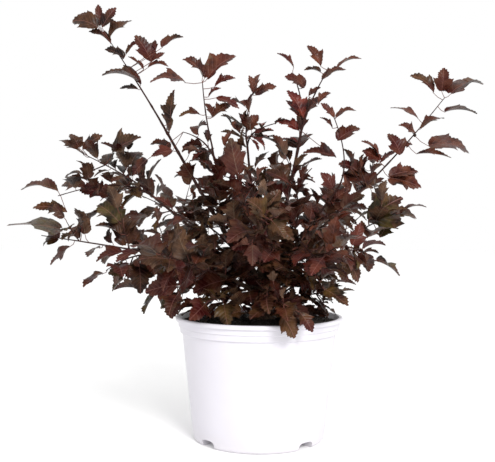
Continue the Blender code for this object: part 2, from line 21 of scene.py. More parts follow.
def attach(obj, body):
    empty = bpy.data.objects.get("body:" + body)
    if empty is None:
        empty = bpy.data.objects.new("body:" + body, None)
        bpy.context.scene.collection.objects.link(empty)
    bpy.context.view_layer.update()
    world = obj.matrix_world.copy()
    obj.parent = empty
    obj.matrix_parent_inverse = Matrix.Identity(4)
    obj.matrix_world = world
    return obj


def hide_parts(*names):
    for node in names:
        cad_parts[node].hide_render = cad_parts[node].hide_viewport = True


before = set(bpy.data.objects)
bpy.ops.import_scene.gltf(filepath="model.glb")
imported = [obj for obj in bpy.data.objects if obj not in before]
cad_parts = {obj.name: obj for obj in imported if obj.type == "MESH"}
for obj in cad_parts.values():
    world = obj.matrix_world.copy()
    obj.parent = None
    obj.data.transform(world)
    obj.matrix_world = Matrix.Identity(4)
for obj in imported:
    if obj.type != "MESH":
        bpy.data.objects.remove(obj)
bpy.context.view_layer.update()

# Pot: a tapered nursery pot with a rolled lip over a stepped band
POT_HEIGHT = 0.1735
POT_TOP_RADIUS = 0.1205
POT_FOOT_RADIUS = 0.0945
POT_WALL = 0.0022
POT_FLOOR = 0.0030
POT_SIDES = 32
POT_FINE_SIDES = 128
POT_SHARP = 28.0
SOIL_SHARP = 40.0
LEAF_SHARP = 62.0
FINE_ARC = 6
LIP_DEPTH = 0.0065
BAND_DEPTH = 0.0220
FOOT_ROUND = 0.0050
DRAIN_COUNT = 4
DRAIN_WIDTH = 0.026
DRAIN_HEIGHT = 0.0105
DRAIN_REACH = 0.022
DRAIN_TURN = -48.0

# Soil and the short stem that stands on it
GAP = 0.0003
SOIL_BELOW_LIP = 0.0080
SOIL_CROWN = 0.0035
SOIL_FLAT = 0.036
SOIL_INSET = 0.0084
STEM_X = 0.004
STEM_HEIGHT = 0.066
STEM_RADIUS = 0.0150
STEM_FLARE = 0.0065
STEM_SIDES = 14

# Canes and twigs
CANE_SIDES = 5
CANE_STEPS = 7
CANE_TAPER = 0.55
TWIG_SIDES = 3
STEM_STEPS = 6
TWIG_STEPS = 2
TWIG_RADIUS = 0.0018
TWIG_END = 0.0012
FORK_SHIFT = 0.0023
CLEARANCE = 0.0006

# Leaves
LEAF_THICK = 0.030
LEAF_ROOT = 0.0006
LEAF_FOLD = 0.085
LEAF_CURL = 0.060
LEAF_LOBE = (0.52, 0.29)
LEAF_SINUS = (0.68, 0.155)
LEAF_MIDDLE = 0.50
GOLDEN_TURN = math.radians(137.5)
LEAF_TRIES = 7
TIP_SHARE = 0.93
SPACE_MARGIN = 0.0010

Cane = namedtuple("Cane", "name turn height tip bow radius")
Mass = namedtuple("Mass", "name carrier tip reach leaves twigs leaf droop seed")
Seat = namedtuple("Seat", "turn height")

# Canes: turn and height of the foot on the short stem, the tip, how far the
# middle bows up as a share of the length, and the foot's radius
CANES = [
    Cane("cane_left_tall", 170, 0.046, (-0.141, 0.035, 0.447), 0.05, 0.0036),
    Cane("cane_centre_left", 184, 0.057, (-0.066, -0.015, 0.402), 0.03, 0.0032),
    Cane("cane_centre", 100, 0.057, (-0.018, 0.050, 0.424), 0.00, 0.0032),
    Cane("cane_right_centre", 18, 0.057, (0.060, 0.002, 0.440), 0.04, 0.0036),
    Cane("cane_right_thin", -20, 0.046, (0.104, -0.035, 0.348), 0.08, 0.0028),
    Cane("cane_right_tall", 12, 0.044, (0.148, 0.045, 0.352), 0.08, 0.0036),
    Cane("cane_right_out", -32, 0.030, (0.098, -0.045, 0.272), 0.10, 0.0030),
    Cane("cane_left_upper", 160, 0.037, (-0.165, 0.065, 0.350), 0.08, 0.0034),
    Cane("cane_left_out", 196, 0.036, (-0.145, -0.040, 0.262), 0.12, 0.0032),
    Cane("cane_back_left", 126, 0.034, (-0.105, 0.120, 0.305), 0.10, 0.0032),
    Cane("cane_front_left", 226, 0.030, (-0.058, -0.065, 0.238), 0.12, 0.0030),
    Cane("cane_back_right", 52, 0.036, (0.100, 0.115, 0.310), 0.10, 0.0032),
    Cane("cane_front_right", -58, 0.030, (0.048, -0.072, 0.242), 0.12, 0.0030),
    Cane("cane_front", 262, 0.046, (-0.004, -0.058, 0.268), 0.10, 0.0032),
    Cane("cane_heart_left", 205, 0.040, (-0.040, -0.010, 0.272), 0.06, 0.0030),
    Cane("cane_heart_right", -38, 0.057, (0.042, -0.018, 0.275), 0.05, 0.0030),
    Cane("cane_back", 96, 0.046, (0.000, 0.085, 0.300), 0.10, 0.0032),
]

# Masses: the cane or the seat on the short stem that carries each, the tip of
# its middle stem, the reach of its space, the leaves on that stem, its side
# twigs, the length of a leaf, how far leaves droop, and the seed
MASSES = [
    Mass("leaves_left_tall", "cane_left_tall", (-0.227, 0.055, 0.582), 0.105, 9, 2, 0.066, -0.15, 2011),
    Mass("leaves_centre_left", "cane_centre_left", (-0.081, -0.040, 0.502), 0.075, 7, 1, 0.062, -0.05, 3712),
    Mass("leaves_crown_left", "cane_centre_left", (-0.112, 0.010, 0.440), 0.060, 4, 1, 0.060, 0.05, 4144),
    Mass("leaves_centre", "cane_centre", (-0.012, 0.085, 0.510), 0.060, 5, 1, 0.054, 0.05, 1713),
    Mass("leaves_centre_low", "cane_centre", (0.024, 0.020, 0.455), 0.060, 4, 1, 0.058, 0.15, 2645),
    Mass("leaves_top_inner", "cane_right_centre", (0.050, 0.045, 0.535), 0.070, 6, 1, 0.056, -0.10, 2914),
    Mass("leaves_top_outer", "cane_right_centre", (0.095, -0.040, 0.522), 0.075, 7, 1, 0.060, -0.05, 1515),
    Mass("leaves_right_thin", "cane_right_thin", (0.100, -0.060, 0.452), 0.055, 6, 0, 0.046, 0.05, 3516),
    Mass("leaves_right_tall", "cane_right_tall", (0.288, 0.075, 0.504), 0.100, 10, 2, 0.066, 0.05, 1017),
    Mass("leaves_right_mid", "cane_right_tall", (0.182, 0.105, 0.405), 0.075, 5, 2, 0.060, 0.20, 4318),
    Mass("leaves_right_out", "cane_right_out", (0.186, -0.065, 0.322), 0.080, 7, 2, 0.066, 0.30, 2119),
    Mass("leaves_right_hang", "cane_right_out", (0.155, -0.060, 0.260), 0.065, 5, 1, 0.058, 0.60, 20),
    Mass("leaves_left_upper", "cane_left_upper", (-0.268, 0.085, 0.412), 0.085, 8, 2, 0.062, 0.15, 2121),
    Mass("leaves_left_mid", "cane_left_upper", (-0.296, 0.015, 0.346), 0.085, 8, 2, 0.064, 0.20, 3922),
    Mass("leaves_left_out", "cane_left_out", (-0.300, -0.055, 0.288), 0.085, 8, 1, 0.066, 0.15, 2823),
    Mass("leaves_left_hang", "cane_left_out", (-0.205, -0.085, 0.242), 0.070, 5, 1, 0.066, 0.60, 2924),
    Mass("leaves_back_left", "cane_back_left", (-0.210, 0.215, 0.360), 0.085, 8, 2, 0.064, 0.25, 2825),
    Mass("leaves_front_left", "cane_front_left", (-0.125, -0.165, 0.268), 0.085, 8, 3, 0.064, 0.45, 4326),
    Mass("leaves_back_right", "cane_back_right", (0.175, 0.205, 0.362), 0.085, 8, 2, 0.064, 0.25, 3327),
    Mass("leaves_front_right", "cane_front_right", (0.090, -0.175, 0.276), 0.080, 8, 3, 0.062, 0.45, 2028),
    Mass("leaves_front_high", "cane_front", (-0.030, -0.120, 0.365), 0.075, 7, 3, 0.060, 0.30, 3329),
    Mass("leaves_front_far", "cane_front", (0.015, -0.205, 0.312), 0.080, 8, 2, 0.062, 0.40, 2030),
    Mass("leaves_crown", "cane_heart_left", (-0.050, -0.025, 0.415), 0.075, 8, 3, 0.060, 0.15, 3131),
    Mass("leaves_heart_left", "cane_heart_left", (-0.118, -0.025, 0.322), 0.070, 6, 2, 0.060, 0.40, 732),
    Mass("leaves_crown_right", "cane_heart_right", (0.036, -0.050, 0.398), 0.075, 8, 2, 0.060, 0.20, 5433),
    Mass("leaves_heart_right", "cane_heart_right", (0.108, -0.065, 0.325), 0.070, 6, 2, 0.058, 0.35, 3334),
    Mass("leaves_back_high", "cane_back", (0.040, 0.125, 0.410), 0.080, 8, 2, 0.062, 0.20, 5035),
    Mass("leaves_back_far", "cane_back", (-0.030, 0.220, 0.340), 0.085, 8, 2, 0.064, 0.35, 2936),
    Mass("leaves_back_low", Seat(84, 0.016), (0.035, 0.165, 0.232), 0.080, 6, 1, 0.062, 0.40, 4137),
    Mass("leaves_back_low_left", Seat(138, 0.014), (-0.110, 0.105, 0.232), 0.075, 6, 1, 0.060, 0.40, 5138),
    Mass("leaves_back_low_right", Seat(34, 0.014), (0.125, 0.085, 0.236), 0.075, 6, 1, 0.060, 0.40, 1739),
    Mass("leaves_low_left", Seat(188, 0.014), (-0.168, -0.010, 0.212), 0.070, 6, 1, 0.058, 0.50, 3840),
    Mass("leaves_low_right", Seat(-12, 0.012), (0.108, -0.008, 0.206), 0.060, 5, 1, 0.052, 0.45, 841),
    Mass("leaves_rim_front", Seat(-72, 0.014), (0.030, -0.122, 0.202), 0.075, 6, 2, 0.060, 0.55, 1442),
    Mass("leaves_rim_left", Seat(240, 0.012), (-0.070, -0.095, 0.203), 0.070, 6, 1, 0.058, 0.55, 2043),
]

# Tints of the leaves, linear, and how often each is dealt to a spray of a slot
TINTS = {
    "plum_dark": (0.013, 0.0028, 0.0018),
    "plum": (0.025, 0.0048, 0.0028),
    "brown": (0.034, 0.0105, 0.0038),
    "bronze": (0.036, 0.0180, 0.0045),
    "olive": (0.030, 0.0230, 0.0055),
    "maroon": (0.050, 0.0052, 0.0042),
    "red": (0.110, 0.0075, 0.0085),
}
TINT_WEIGHTS = {
    "leaf_purple": {"plum_dark": 4, "plum": 4, "brown": 4, "bronze": 2, "maroon": 3},
    "leaf_red": {"plum_dark": 2, "plum": 3, "brown": 2, "maroon": 8, "red": 2, "bronze": 1},
    "leaf_olive": {"plum": 3, "brown": 3, "bronze": 5, "olive": 3, "maroon": 1},
}
UNDER_TONE = (0.056, 0.0260, 0.0180)
LIGHT_TONE = (0.070, 0.0420, 0.0150)
FLUSH_TONE = (0.058, 0.0046, 0.0044)
LEAF_GLOSS = 0.16
TWIG_TONE = (0.040, 0.014, 0.011)
STALK_TONE = (0.140, 0.048, 0.036)
VEIN_TONE = (0.30, 0.13, 0.11, 1.0)
UNDER_VEIN_TONE = (0.22, 0.17, 0.12, 1.0)
YOUNG_BARK = (0.036, 0.012, 0.009)
OLD_BARK = (0.105, 0.066, 0.044)
OLD_BARK_TOP = 0.26
VEIN_COUNT = 7.0
VEIN_SLANT = 0.85
VEIN_SHOW = 0.34
LEAF_DARK = 0.25
LEAF_LIGHT = 1.15
LEAF_WARM = 0.50
FLUSH_SHOW = 0.55
TINT_SEED = 7
SPRAY_SIZE = 0.045

# Blades: the half outline as (ahead, across) shares of the length, and the teeth's depth
BLADES = [
    ([(0.0, 0.0), (0.08, 0.07), (0.20, 0.15), (0.33, 0.215), (0.50, 0.330), (0.50, 0.165), (0.60, 0.170),
      (0.74, 0.165), (0.88, 0.085), (1.0, 0.0)], 0.020),
    ([(0.0, 0.0), (0.02, 0.10), (0.13, 0.230), (0.27, 0.300), (0.52, 0.430), (0.52, 0.225), (0.62, 0.215),
      (0.74, 0.215), (0.89, 0.105), (1.0, 0.0)], 0.022),
    ([(0.0, 0.0), (-0.05, 0.10), (0.00, 0.25), (0.14, 0.420), (0.22, 0.310), (0.52, 0.490), (0.53, 0.265),
      (0.68, 0.285), (0.84, 0.165), (1.0, 0.0)], 0.024),
]
BLADE_ROWS = 24
BLADE_COLUMNS = 2
BLADE_WAYS = ("size", "fold", "curl", "wave", "phase", "width", "twist")
HIGH_FROM = 0.30
HIGH_SPAN = 0.18
CURL_RANGE = (24.0, 74.0)
CURL_HIGH = 6.0
FOLD_RANGE = (12.0, 40.0)
FOLD_HIGH = 12.0
WIDTH_RANGE = (0.86, 1.06)
TWIST_RANGE = (-22.0, 22.0)
WAVE_RANGE = (0.03, 0.110)
STALK_RANGE = (0.8, 1.25)
LEAF_SHEET = 0.0004
LOBE_SAG = 0.35
QUILT = 0.004
STALK_SHARE = 0.17
STALK_RADIUS = 0.00055
PIECE_TRIANGLES = 190000

# Twigs and canes
STEM_START = 0.0019
STEM_TIP = 0.0006
TWIG_START = 0.0011
TWIG_TIP = 0.0005
KNOT_SWELL = 0.28
KNOT_SPACING = 0.034
KNOT_SHARPNESS = 14.0
KNOT_STAGGER = 0.37
BARK_ROUGH = 0.10
BARK_GRAIN = 420.0
STEM_ROUND = 8
TWIG_ROUND = 6
CANE_ROUND = 12
TRUNK_ROUND = 40
TWIG_SMOOTH = 4
CANE_SMOOTH = 8
TRUNK_SMOOTH = 5
TRUNK_RIDGE = 0.0012
TRUNK_GRAIN = (160.0, 26.0)

# Finer growth between the source's own leaves
FINE_SEED = 90000
FINE_FROM = 0.14
FINE_FROM_LOW = 0.36
FINE_TO = 0.80
FINE_TWIG_REACH = (0.34, 0.55)
FINE_TWIG_LEAF = (0.50, 0.68)
OPEN_FROM_HEIGHT = 0.43
FINE_TWIGS_OPEN = 1
FINE_TWIGS_SIDE = 2
FINE_TWIGS_DENSE = 5
FINE_LEAVES_OPEN = 4
FINE_LEAVES_SIDE = 4
FINE_LEAVES_DENSE = 12
OPEN_FROM_WIDTH = 0.13
LEFT_END = -0.335
FEATURE_LENGTH = 1.02
FEATURE_WIDTH = 1.28
FEATURE_FOLD = 0.75
LEAF_SHRINK = (0.74, 1.00)
FINE_LEAF_SHARE = 0.62

# Small leaves along the canes
CANE_LEAF_SEED = 500
CANE_LEAVES = 12
CANE_LEAF_FROM = 0.16
CANE_LEAF_SPAN = 0.80
CANE_LEAF_DROOP = 0.25
CANE_LEAF_SIZE = (0.026, 0.042)
CANE_STALK = 0.010

# Soil crumbs
SOIL_RINGS = 34
SOIL_SIDES = 110
SOIL_ROUGH = [(0.0022, 70.0, 0.0), (0.0012, 210.0, 0.3)]
SOIL_SKIRT = 0.95
SOIL_DEPTH = 0.010
SOIL_SEED = 11
SOIL_CRUMBS = 900
CRUMB_SIZE = (0.0010, 0.0034)
CRUMB_CORNERS = [(1, 0, 0), (-1, 0, 0), (0, 1, 0), (0, -1, 0), (0, 0, 1), (0, 0, -1)]
CRUMB_FACES = [(0, 2, 4), (2, 1, 4), (1, 3, 4), (3, 0, 4), (2, 0, 5), (1, 2, 5), (3, 1, 5), (0, 3, 5)]

# Studio: camera as fitted to the pot's lip and foot, lights and floor
CAMERA_PLACE = (-0.0172, -1.039, 0.293)
CAMERA_SENSOR = 36.0
CAMERA_LENS = 52.15
CAMERA_PITCH = 0.14
CAMERA_ROLL = -0.26
CAMERA_REACH = 50.0
FLOOR_SIZE = 12.0
FLOOR_GLOW = 0.06
WORLD_STRENGTH = 1.0
LIGHT_AIM = (0.0, 0.0, 0.30)
LIGHTS = [
    ("key_light", (0.9, -2.3, 1.7), 66.0, 0.9, (1.0, 0.985, 0.97)),
    ("fill_light", (-1.9, -1.6, 1.1), 5.0, 1.6, (0.96, 0.97, 1.0)),
]

# Leaves that stand out in the photo, read from it: each has its base and its tip
# in the photo's pixels, under the mass whose stem carries it
PHOTO_MIDDLE = (247.5, 231.0)
PHOTO_FOCUS = 717.0
PHOTO_EYE = (-0.0172, -1.039, 0.2955)
FEATURES = {
    "leaves_left_tall": [
        ((99, 27), (97, 5)), ((101, 28), (115, 8)), ((97, 28), (70, 22)),
        ((95, 23), (77, 15)), ((109, 37), (131, 21)), ((110, 44), (87, 32)),
        ((125, 55), (138, 41)), ((123, 59), (103, 50)), ((143, 70), (127, 57)),
        ((151, 62), (134, 36)), ((161, 48), (183, 37)), ((152, 61), (164, 53)),
        ((155, 50), (154, 40)), ((147, 68), (169, 67)), ((140, 85), (99, 76)),
        ((138, 90), (119, 89)), ((170, 123), (174, 90)),
    ],
    "leaves_centre_left": [
        ((185, 83), (147, 83)), ((200, 115), (178, 117)), ((202, 77), (180, 59)),
        ((207, 78), (236, 56)), ((214, 87), (236, 78)), ((204, 78), (206, 69)),
        ((208, 97), (221, 88)), ((215, 98), (239, 109)), ((212, 117), (203, 103)),
        ((213, 117), (232, 103)),
    ],
    "leaves_centre": [
        ((253, 94), (248, 75)), ((255, 95), (276, 86)), ((247, 128), (238, 113)),
        ((247, 128), (258, 115)),
    ],
    "leaves_top_inner": [
        ((293, 67), (276, 53)), ((304, 87), (283, 76)), ((303, 118), (286, 90)),
        ((300, 116), (285, 100)), ((299, 131), (276, 121)), ((300, 146), (277, 140)),
    ],
    "leaves_top_outer": [
        ((320, 66), (306, 45)), ((336, 68), (362, 58)), ((321, 80), (346, 69)),
        ((320, 72), (303, 70)), ((304, 118), (330, 92)), ((308, 96), (320, 87)),
        ((318, 104), (331, 92)), ((336, 157), (302, 153)),
    ],
    "leaves_right_thin": [
        ((334, 118), (320, 103)), ((335, 118), (357, 110)), ((332, 128), (319, 117)),
        ((337, 140), (360, 128)), ((333, 188), (320, 172)), ((334, 200), (350, 189)),
    ],
    "leaves_right_tall": [
        ((433, 92), (408, 74)), ((441, 90), (443, 66)), ((451, 92), (484, 83)),
        ((444, 111), (477, 113)), ((418, 118), (389, 107)), ((420, 128), (445, 117)),
        ((414, 136), (397, 124)), ((412, 144), (400, 146)), ((428, 145), (471, 153)),
        ((416, 153), (451, 157)), ((388, 176), (418, 171)), ((389, 177), (421, 187)),
        ((400, 154), (387, 133)), ((378, 158), (360, 140)), ((378, 160), (361, 150)),
        ((380, 162), (397, 150)),
    ],
    "leaves_right_mid": [
        ((360, 174), (337, 163)), ((372, 186), (341, 175)),
    ],
    "leaves_right_out": [
        ((368, 220), (403, 197)), ((368, 221), (418, 217)), ((380, 237), (393, 218)),
    ],
    "leaves_left_upper": [
        ((76, 150), (58, 141)), ((78, 148), (69, 134)), ((82, 150), (102, 136)),
        ((112, 153), (141, 138)),
    ],
    "leaves_crown_left": [
        ((172, 151), (151, 157)), ((147, 160), (133, 176)),
    ],
    "leaves_left_mid": [
        ((58, 192), (20, 191)), ((67, 213), (32, 209)),
    ],
    "leaves_left_out": [
        ((60, 230), (7, 227)), ((82, 227), (68, 243)),
    ],
    "leaves_left_hang": [
        ((123, 253), (96, 263)), ((127, 263), (115, 287)),
    ],
    "leaves_low_left": [
        ((178, 293), (161, 309)), ((182, 300), (193, 308)), ((177, 300), (172, 320)),
    ],
    "leaves_rim_front": [
        ((283, 316), (295, 338)), ((300, 312), (313, 332)),
    ],
}
# Masses that show only those leaves, none from the source's rule
FEATURES_ALONE = {
    "leaves_left_tall", "leaves_centre_left", "leaves_top_inner", "leaves_top_outer", "leaves_right_thin",
    "leaves_right_tall",
}
FEATURE_SEED = 3000
FEATURE_SHIFT = 0.20
FEATURE_DEPTH = 0.30
FEATURE_SMOOTH = 6

Leaf = namedtuple("Leaf", "base along face size fold curl wave phase width twist")
Spot = namedtuple("Spot", "root along face length rooted_on")
Feature = namedtuple("Feature", "root base along face length")

RED_HALF_WIDTH = 0.10
RED_FROM_HEIGHT = 0.38
OLIVE_FROM_WIDTH = 0.15
OLIVE_TO_HEIGHT = 0.37

SOIL_TOP = POT_HEIGHT - SOIL_BELOW_LIP
STEM_BOTTOM = SOIL_TOP + SOIL_CROWN + GAP
UP = Vector((0.0, 0.0, 1.0))


def add_mesh(name, verts, faces, materials=(), smooth=True):
    """A mesh object from points and faces, with its materials."""
    mesh = bpy.data.meshes.new(name)
    mesh.from_pydata([tuple(p) for p in verts], [], faces)
    item = bpy.data.objects.new(name, mesh)
    bpy.context.scene.collection.objects.link(item)
    for material in materials:
        mesh.materials.append(material)
    if smooth:
        mesh.shade_smooth()
    return item


def declare(item, nodes=()):
    """Hangs a piece under the root body and hides the imported parts of the nodes that it stands for."""
    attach(item, "root")
    if nodes:
        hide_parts(*nodes)


class Nodes:
    """A short way to write a material's node tree."""

    def __init__(self, name):
        self.material = bpy.data.materials.new(name)
        self.material.use_nodes = True
        self.tree = self.material.node_tree
        self.shader = self.tree.nodes["Principled BSDF"]

    def add(self, kind, inputs=None, **settings):
        """A node with settings, whose inputs are values or other nodes' outputs."""
        node = self.tree.nodes.new("ShaderNode" + kind)
        for key, value in settings.items():
            setattr(node, key, value)
        for key, value in (inputs or {}).items():
            self.feed(node, key, value)
        return node

    def feed(self, node, key, value):
        """Sets an input to a value or links it to an output."""
        if isinstance(value, bpy.types.NodeSocket):
            self.tree.links.new(value, node.inputs[key])
        else:
            node.inputs[key].default_value = value

    def math(self, operation, first, second=0.0):
        """The output of a math node."""
        return self.add("Math", {0: first, 1: second}, operation=operation).outputs[0]

    def ramp(self, value, stops):
        """The output of a colour ramp with (place, colour) stops."""
        node = self.add("ValToRGB", {"Fac": value})
        elements = node.color_ramp.elements
        for extra in stops[2:]:
            elements.new(extra[0])
        for element, stop in zip(elements, stops):
            element.position = stop[0]
            element.color = (*stop[1], 1.0)
        return node.outputs["Color"]

    def range(self, value, low, high, to_low, to_high):
        """The output of a smooth map range node."""
        node = self.add("MapRange", {"Value": value, "From Min": low, "From Max": high, "To Min": to_low,
                                     "To Max": to_high}, interpolation_type="SMOOTHSTEP")
        return node.outputs["Result"]

    def noise(self, scale, detail=3.0, stretch=None):
        """The output of a noise texture in object space, stretched along axes if asked."""
        place = self.add("TexCoord").outputs["Object"]
        if stretch:
            place = self.add("Mapping", {"Vector": place, "Scale": stretch}).outputs["Vector"]
        return self.add("TexNoise", {"Vector": place, "Scale": scale, "Detail": detail}).outputs["Fac"]

    def mix(self, share, first, second):
        """The output of a colour mix node."""
        return self.add("Mix", {"Factor": share, 6: first, 7: second}, data_type="RGBA").outputs[2]

    def bump(self, height, strength, distance):
        """Links a height to the shader as a bump."""
        node = self.add("Bump", {"Height": height, "Strength": strength, "Distance": distance})
        self.feed(self.shader, "Normal", node.outputs["Normal"])


def leaf_material(name, tone, under=False):
    """A leaf surface: mottled tint, pale veins by leaf coordinates, dull sheen."""
    nodes = Nodes(name)
    leaf = nodes.add("SeparateXYZ", {0: nodes.add("UVMap", uv_map="leaf").outputs["UV"]})
    ahead = leaf.outputs["X"]
    side = nodes.math("ABSOLUTE", nodes.math("SUBTRACT", leaf.outputs["Y"], 0.5))
    midrib = nodes.range(side, 0.004, 0.016, 1.0, 0.0)
    slanted = nodes.math("SUBTRACT", ahead, nodes.math("MULTIPLY", side, VEIN_SLANT))
    rank = nodes.math("MULTIPLY", slanted, VEIN_COUNT)
    wave = nodes.math("ABSOLUTE", nodes.math("SUBTRACT", nodes.math("FRACT", rank), 0.5))
    vein = nodes.range(wave, 0.0, 0.09, 1.0, 0.0)
    vein = nodes.math("MULTIPLY", vein, nodes.range(side, 0.0, 0.4, 1.0, 0.3))
    veins = nodes.math("MAXIMUM", midrib, nodes.math("MULTIPLY", vein, 0.55))
    patches = nodes.noise(55.0, 5.0)
    grain = nodes.noise(420.0, 2.0)
    dark = tuple(LEAF_DARK * c for c in tone)
    light = tuple(LEAF_LIGHT * c + LEAF_WARM * warm for c, warm in zip(tone, LIGHT_TONE))
    colour = nodes.ramp(patches, [(0.36, dark), (0.64, light)])
    flush = nodes.range(nodes.noise(16.0, 3.0), 0.42, 0.62, 0.0, FLUSH_SHOW)
    colour = nodes.mix(flush, colour, (*FLUSH_TONE, 1.0))
    vein_tone = UNDER_VEIN_TONE if under else VEIN_TONE
    share = nodes.math("MULTIPLY", veins, VEIN_SHOW)
    nodes.feed(nodes.shader, "Base Color", nodes.mix(share, colour, vein_tone))
    nodes.feed(nodes.shader, "Roughness", nodes.range(grain, 0.3, 0.7, 0.28, 0.44))
    nodes.feed(nodes.shader, "Specular IOR Level", LEAF_GLOSS)
    height = nodes.math("ADD", nodes.math("MULTIPLY", veins, -0.8), nodes.math("MULTIPLY", grain, 0.35))
    height = nodes.math("ADD", height, nodes.math("MULTIPLY", wave, 1.4))
    nodes.bump(height, 0.6, 0.0006)
    return nodes.material


def bark_material(name, young, old, turn_height):
    """Bark: old and flaking low down, smooth and dark on the young wood above."""
    nodes = Nodes(name)
    place = nodes.add("TexCoord").outputs["Object"]
    height = nodes.add("SeparateXYZ", {0: place}).outputs["Z"]
    age = nodes.range(height, turn_height - 0.06, turn_height + 0.10, 1.0, 0.0)
    strips = nodes.noise(260.0, 4.0, (1.0, 1.0, 0.16))
    fine = nodes.noise(900.0, 2.0)
    old_colour = nodes.ramp(strips, [(0.34, tuple(0.35 * c for c in old)), (0.66, old)])
    young_colour = nodes.ramp(fine, [(0.30, tuple(0.6 * c for c in young)), (0.75, young)])
    nodes.feed(nodes.shader, "Base Color", nodes.mix(age, young_colour, old_colour))
    nodes.feed(nodes.shader, "Roughness", nodes.range(strips, 0.3, 0.7, 0.55, 0.85))
    nodes.feed(nodes.shader, "Specular IOR Level", LEAF_GLOSS)
    nodes.bump(nodes.math("ADD", strips, nodes.math("MULTIPLY", fine, 0.3)), 0.7, 0.0006)
    return nodes.material


def plastic_material():
    """The pot's white plastic: satin, faintly orange-peeled, mottled darker near the foot."""
    nodes = Nodes("pot_plastic")
    place = nodes.add("TexCoord").outputs["Object"]
    height = nodes.add("SeparateXYZ", {0: place}).outputs["Z"]
    cloud = nodes.noise(9.0, 3.0)
    base = nodes.ramp(cloud, [(0.30, (0.60, 0.585, 0.635)), (0.75, (0.645, 0.63, 0.675))])
    # Mottled darker grey towards the foot, fading out over the lowest 3 cm
    foot_darkening = nodes.math("MULTIPLY", nodes.range(height, 0.0, 0.03, 0.5, 0.0), nodes.noise(60.0, 5.0))
    nodes.feed(nodes.shader, "Base Color", nodes.mix(foot_darkening, base, (0.55, 0.52, 0.52, 1.0)))
    nodes.feed(nodes.shader, "Roughness", nodes.range(nodes.noise(35.0, 4.0), 0.3, 0.7, 0.30, 0.42))
    nodes.feed(nodes.shader, "Specular IOR Level", 0.35)
    nodes.bump(nodes.noise(700.0, 1.0), 0.10, 0.0003)
    return nodes.material


def soil_material():
    """Black-brown potting soil."""
    nodes = Nodes("soil")
    crumbs = nodes.noise(240.0, 6.0)
    tone = nodes.ramp(crumbs, [(0.30, (0.004, 0.003, 0.002)), (0.75, (0.030, 0.020, 0.014))])
    nodes.feed(nodes.shader, "Base Color", tone)
    nodes.feed(nodes.shader, "Roughness", nodes.range(crumbs, 0.3, 0.7, 0.80, 1.0))
    nodes.bump(crumbs, 1.0, 0.0015)
    return nodes.material


def floor_material():
    """The pale studio floor."""
    nodes = Nodes("studio_floor")
    tone = nodes.ramp(nodes.noise(3.0, 2.0), [(0.3, (0.93, 0.93, 0.93)), (0.7, (0.95, 0.95, 0.95))])
    nodes.feed(nodes.shader, "Base Color", tone)
    nodes.feed(nodes.shader, "Roughness", 0.9)
    nodes.feed(nodes.shader, "Specular IOR Level", 0.1)
    nodes.feed(nodes.shader, "Emission Color", (1.0, 1.0, 1.0, 1.0))
    nodes.feed(nodes.shader, "Emission Strength", FLOOR_GLOW)
    return nodes.material


def turned(profile, sides, centre=Vector((0.0, 0.0, 0.0))):
    """A closed turned shape from (radius, height) points that start and end on the axis."""
    points = [centre + UP * profile[0][1]]
    for radius, height in profile[1:-1]:
        for k in range(sides):
            angle = 2.0 * math.pi * k / sides
            points.append(centre + Vector((radius * math.cos(angle), radius * math.sin(angle), height)))
    points.append(centre + UP * profile[-1][1])
    last = len(points) - 1
    rings = len(profile) - 2
    faces = []
    for k in range(sides):
        after = (k + 1) % sides
        faces.append((0, 1 + after, 1 + k))
        for ring in range(rings - 1):
            low = 1 + ring * sides
            high = low + sides
            faces.append((low + k, low + after, high + after, high + k))
        top = 1 + (rings - 1) * sides
        faces.append((last, top + k, top + after))
    return points, faces


def arc(centre, radius, start, end, steps):
    """Points of an arc in the profile plane, angles in degrees from the radial direction."""
    points = []
    for k in range(steps + 1):
        angle = math.radians(start + (end - start) * k / steps)
        points.append((centre[0] + radius * math.cos(angle), centre[1] + radius * math.sin(angle)))
    return points


def pot_outside(fine=1):
    """The pot's outer profile, from the foot up to the top of the lip."""
    band_low = POT_HEIGHT - BAND_DEPTH
    lip_low = POT_HEIGHT - LIP_DEPTH
    middle = 0.5 * (band_low + lip_low)
    foot = arc((POT_FOOT_RADIUS - FOOT_ROUND, FOOT_ROUND), FOOT_ROUND, -90.0, 0.0, 3 * fine)
    steps = [
        (POT_TOP_RADIUS - 0.0100, band_low - 0.0020),
        (POT_TOP_RADIUS - 0.0070, band_low),
        (POT_TOP_RADIUS - 0.0062, middle - 0.0005),
        (POT_TOP_RADIUS - 0.0045, middle + 0.0008),
        (POT_TOP_RADIUS - 0.0040, lip_low),
        (POT_TOP_RADIUS - 0.0008, lip_low + 0.0008),
    ]
    lip = arc((POT_TOP_RADIUS - 0.0025, POT_HEIGHT - 0.0025), 0.0025, 0.0, 90.0, 2 * fine)
    return foot + steps + lip


def pot_inside(inset):
    """The pot's inner profile from the lip down to the floor, moved inwards by the inset."""
    band_low = POT_HEIGHT - BAND_DEPTH
    shoulder = DRAIN_HEIGHT + POT_WALL
    return [
        (POT_TOP_RADIUS - 0.0052 - inset, POT_HEIGHT - 0.0004),
        (POT_TOP_RADIUS - 0.0070 - inset, POT_HEIGHT - 0.0040),
        (POT_TOP_RADIUS - 0.0088 - inset, band_low + 0.0030),
        (POT_TOP_RADIUS - 0.0125 - inset, band_low - 0.0030),
        (POT_FOOT_RADIUS - POT_WALL - inset, shoulder + inset),
        (POT_FOOT_RADIUS - DRAIN_REACH - POT_WALL - inset, shoulder + inset),
        (POT_FOOT_RADIUS - DRAIN_REACH - 3.0 * POT_WALL - inset, POT_FLOOR + inset),
    ]


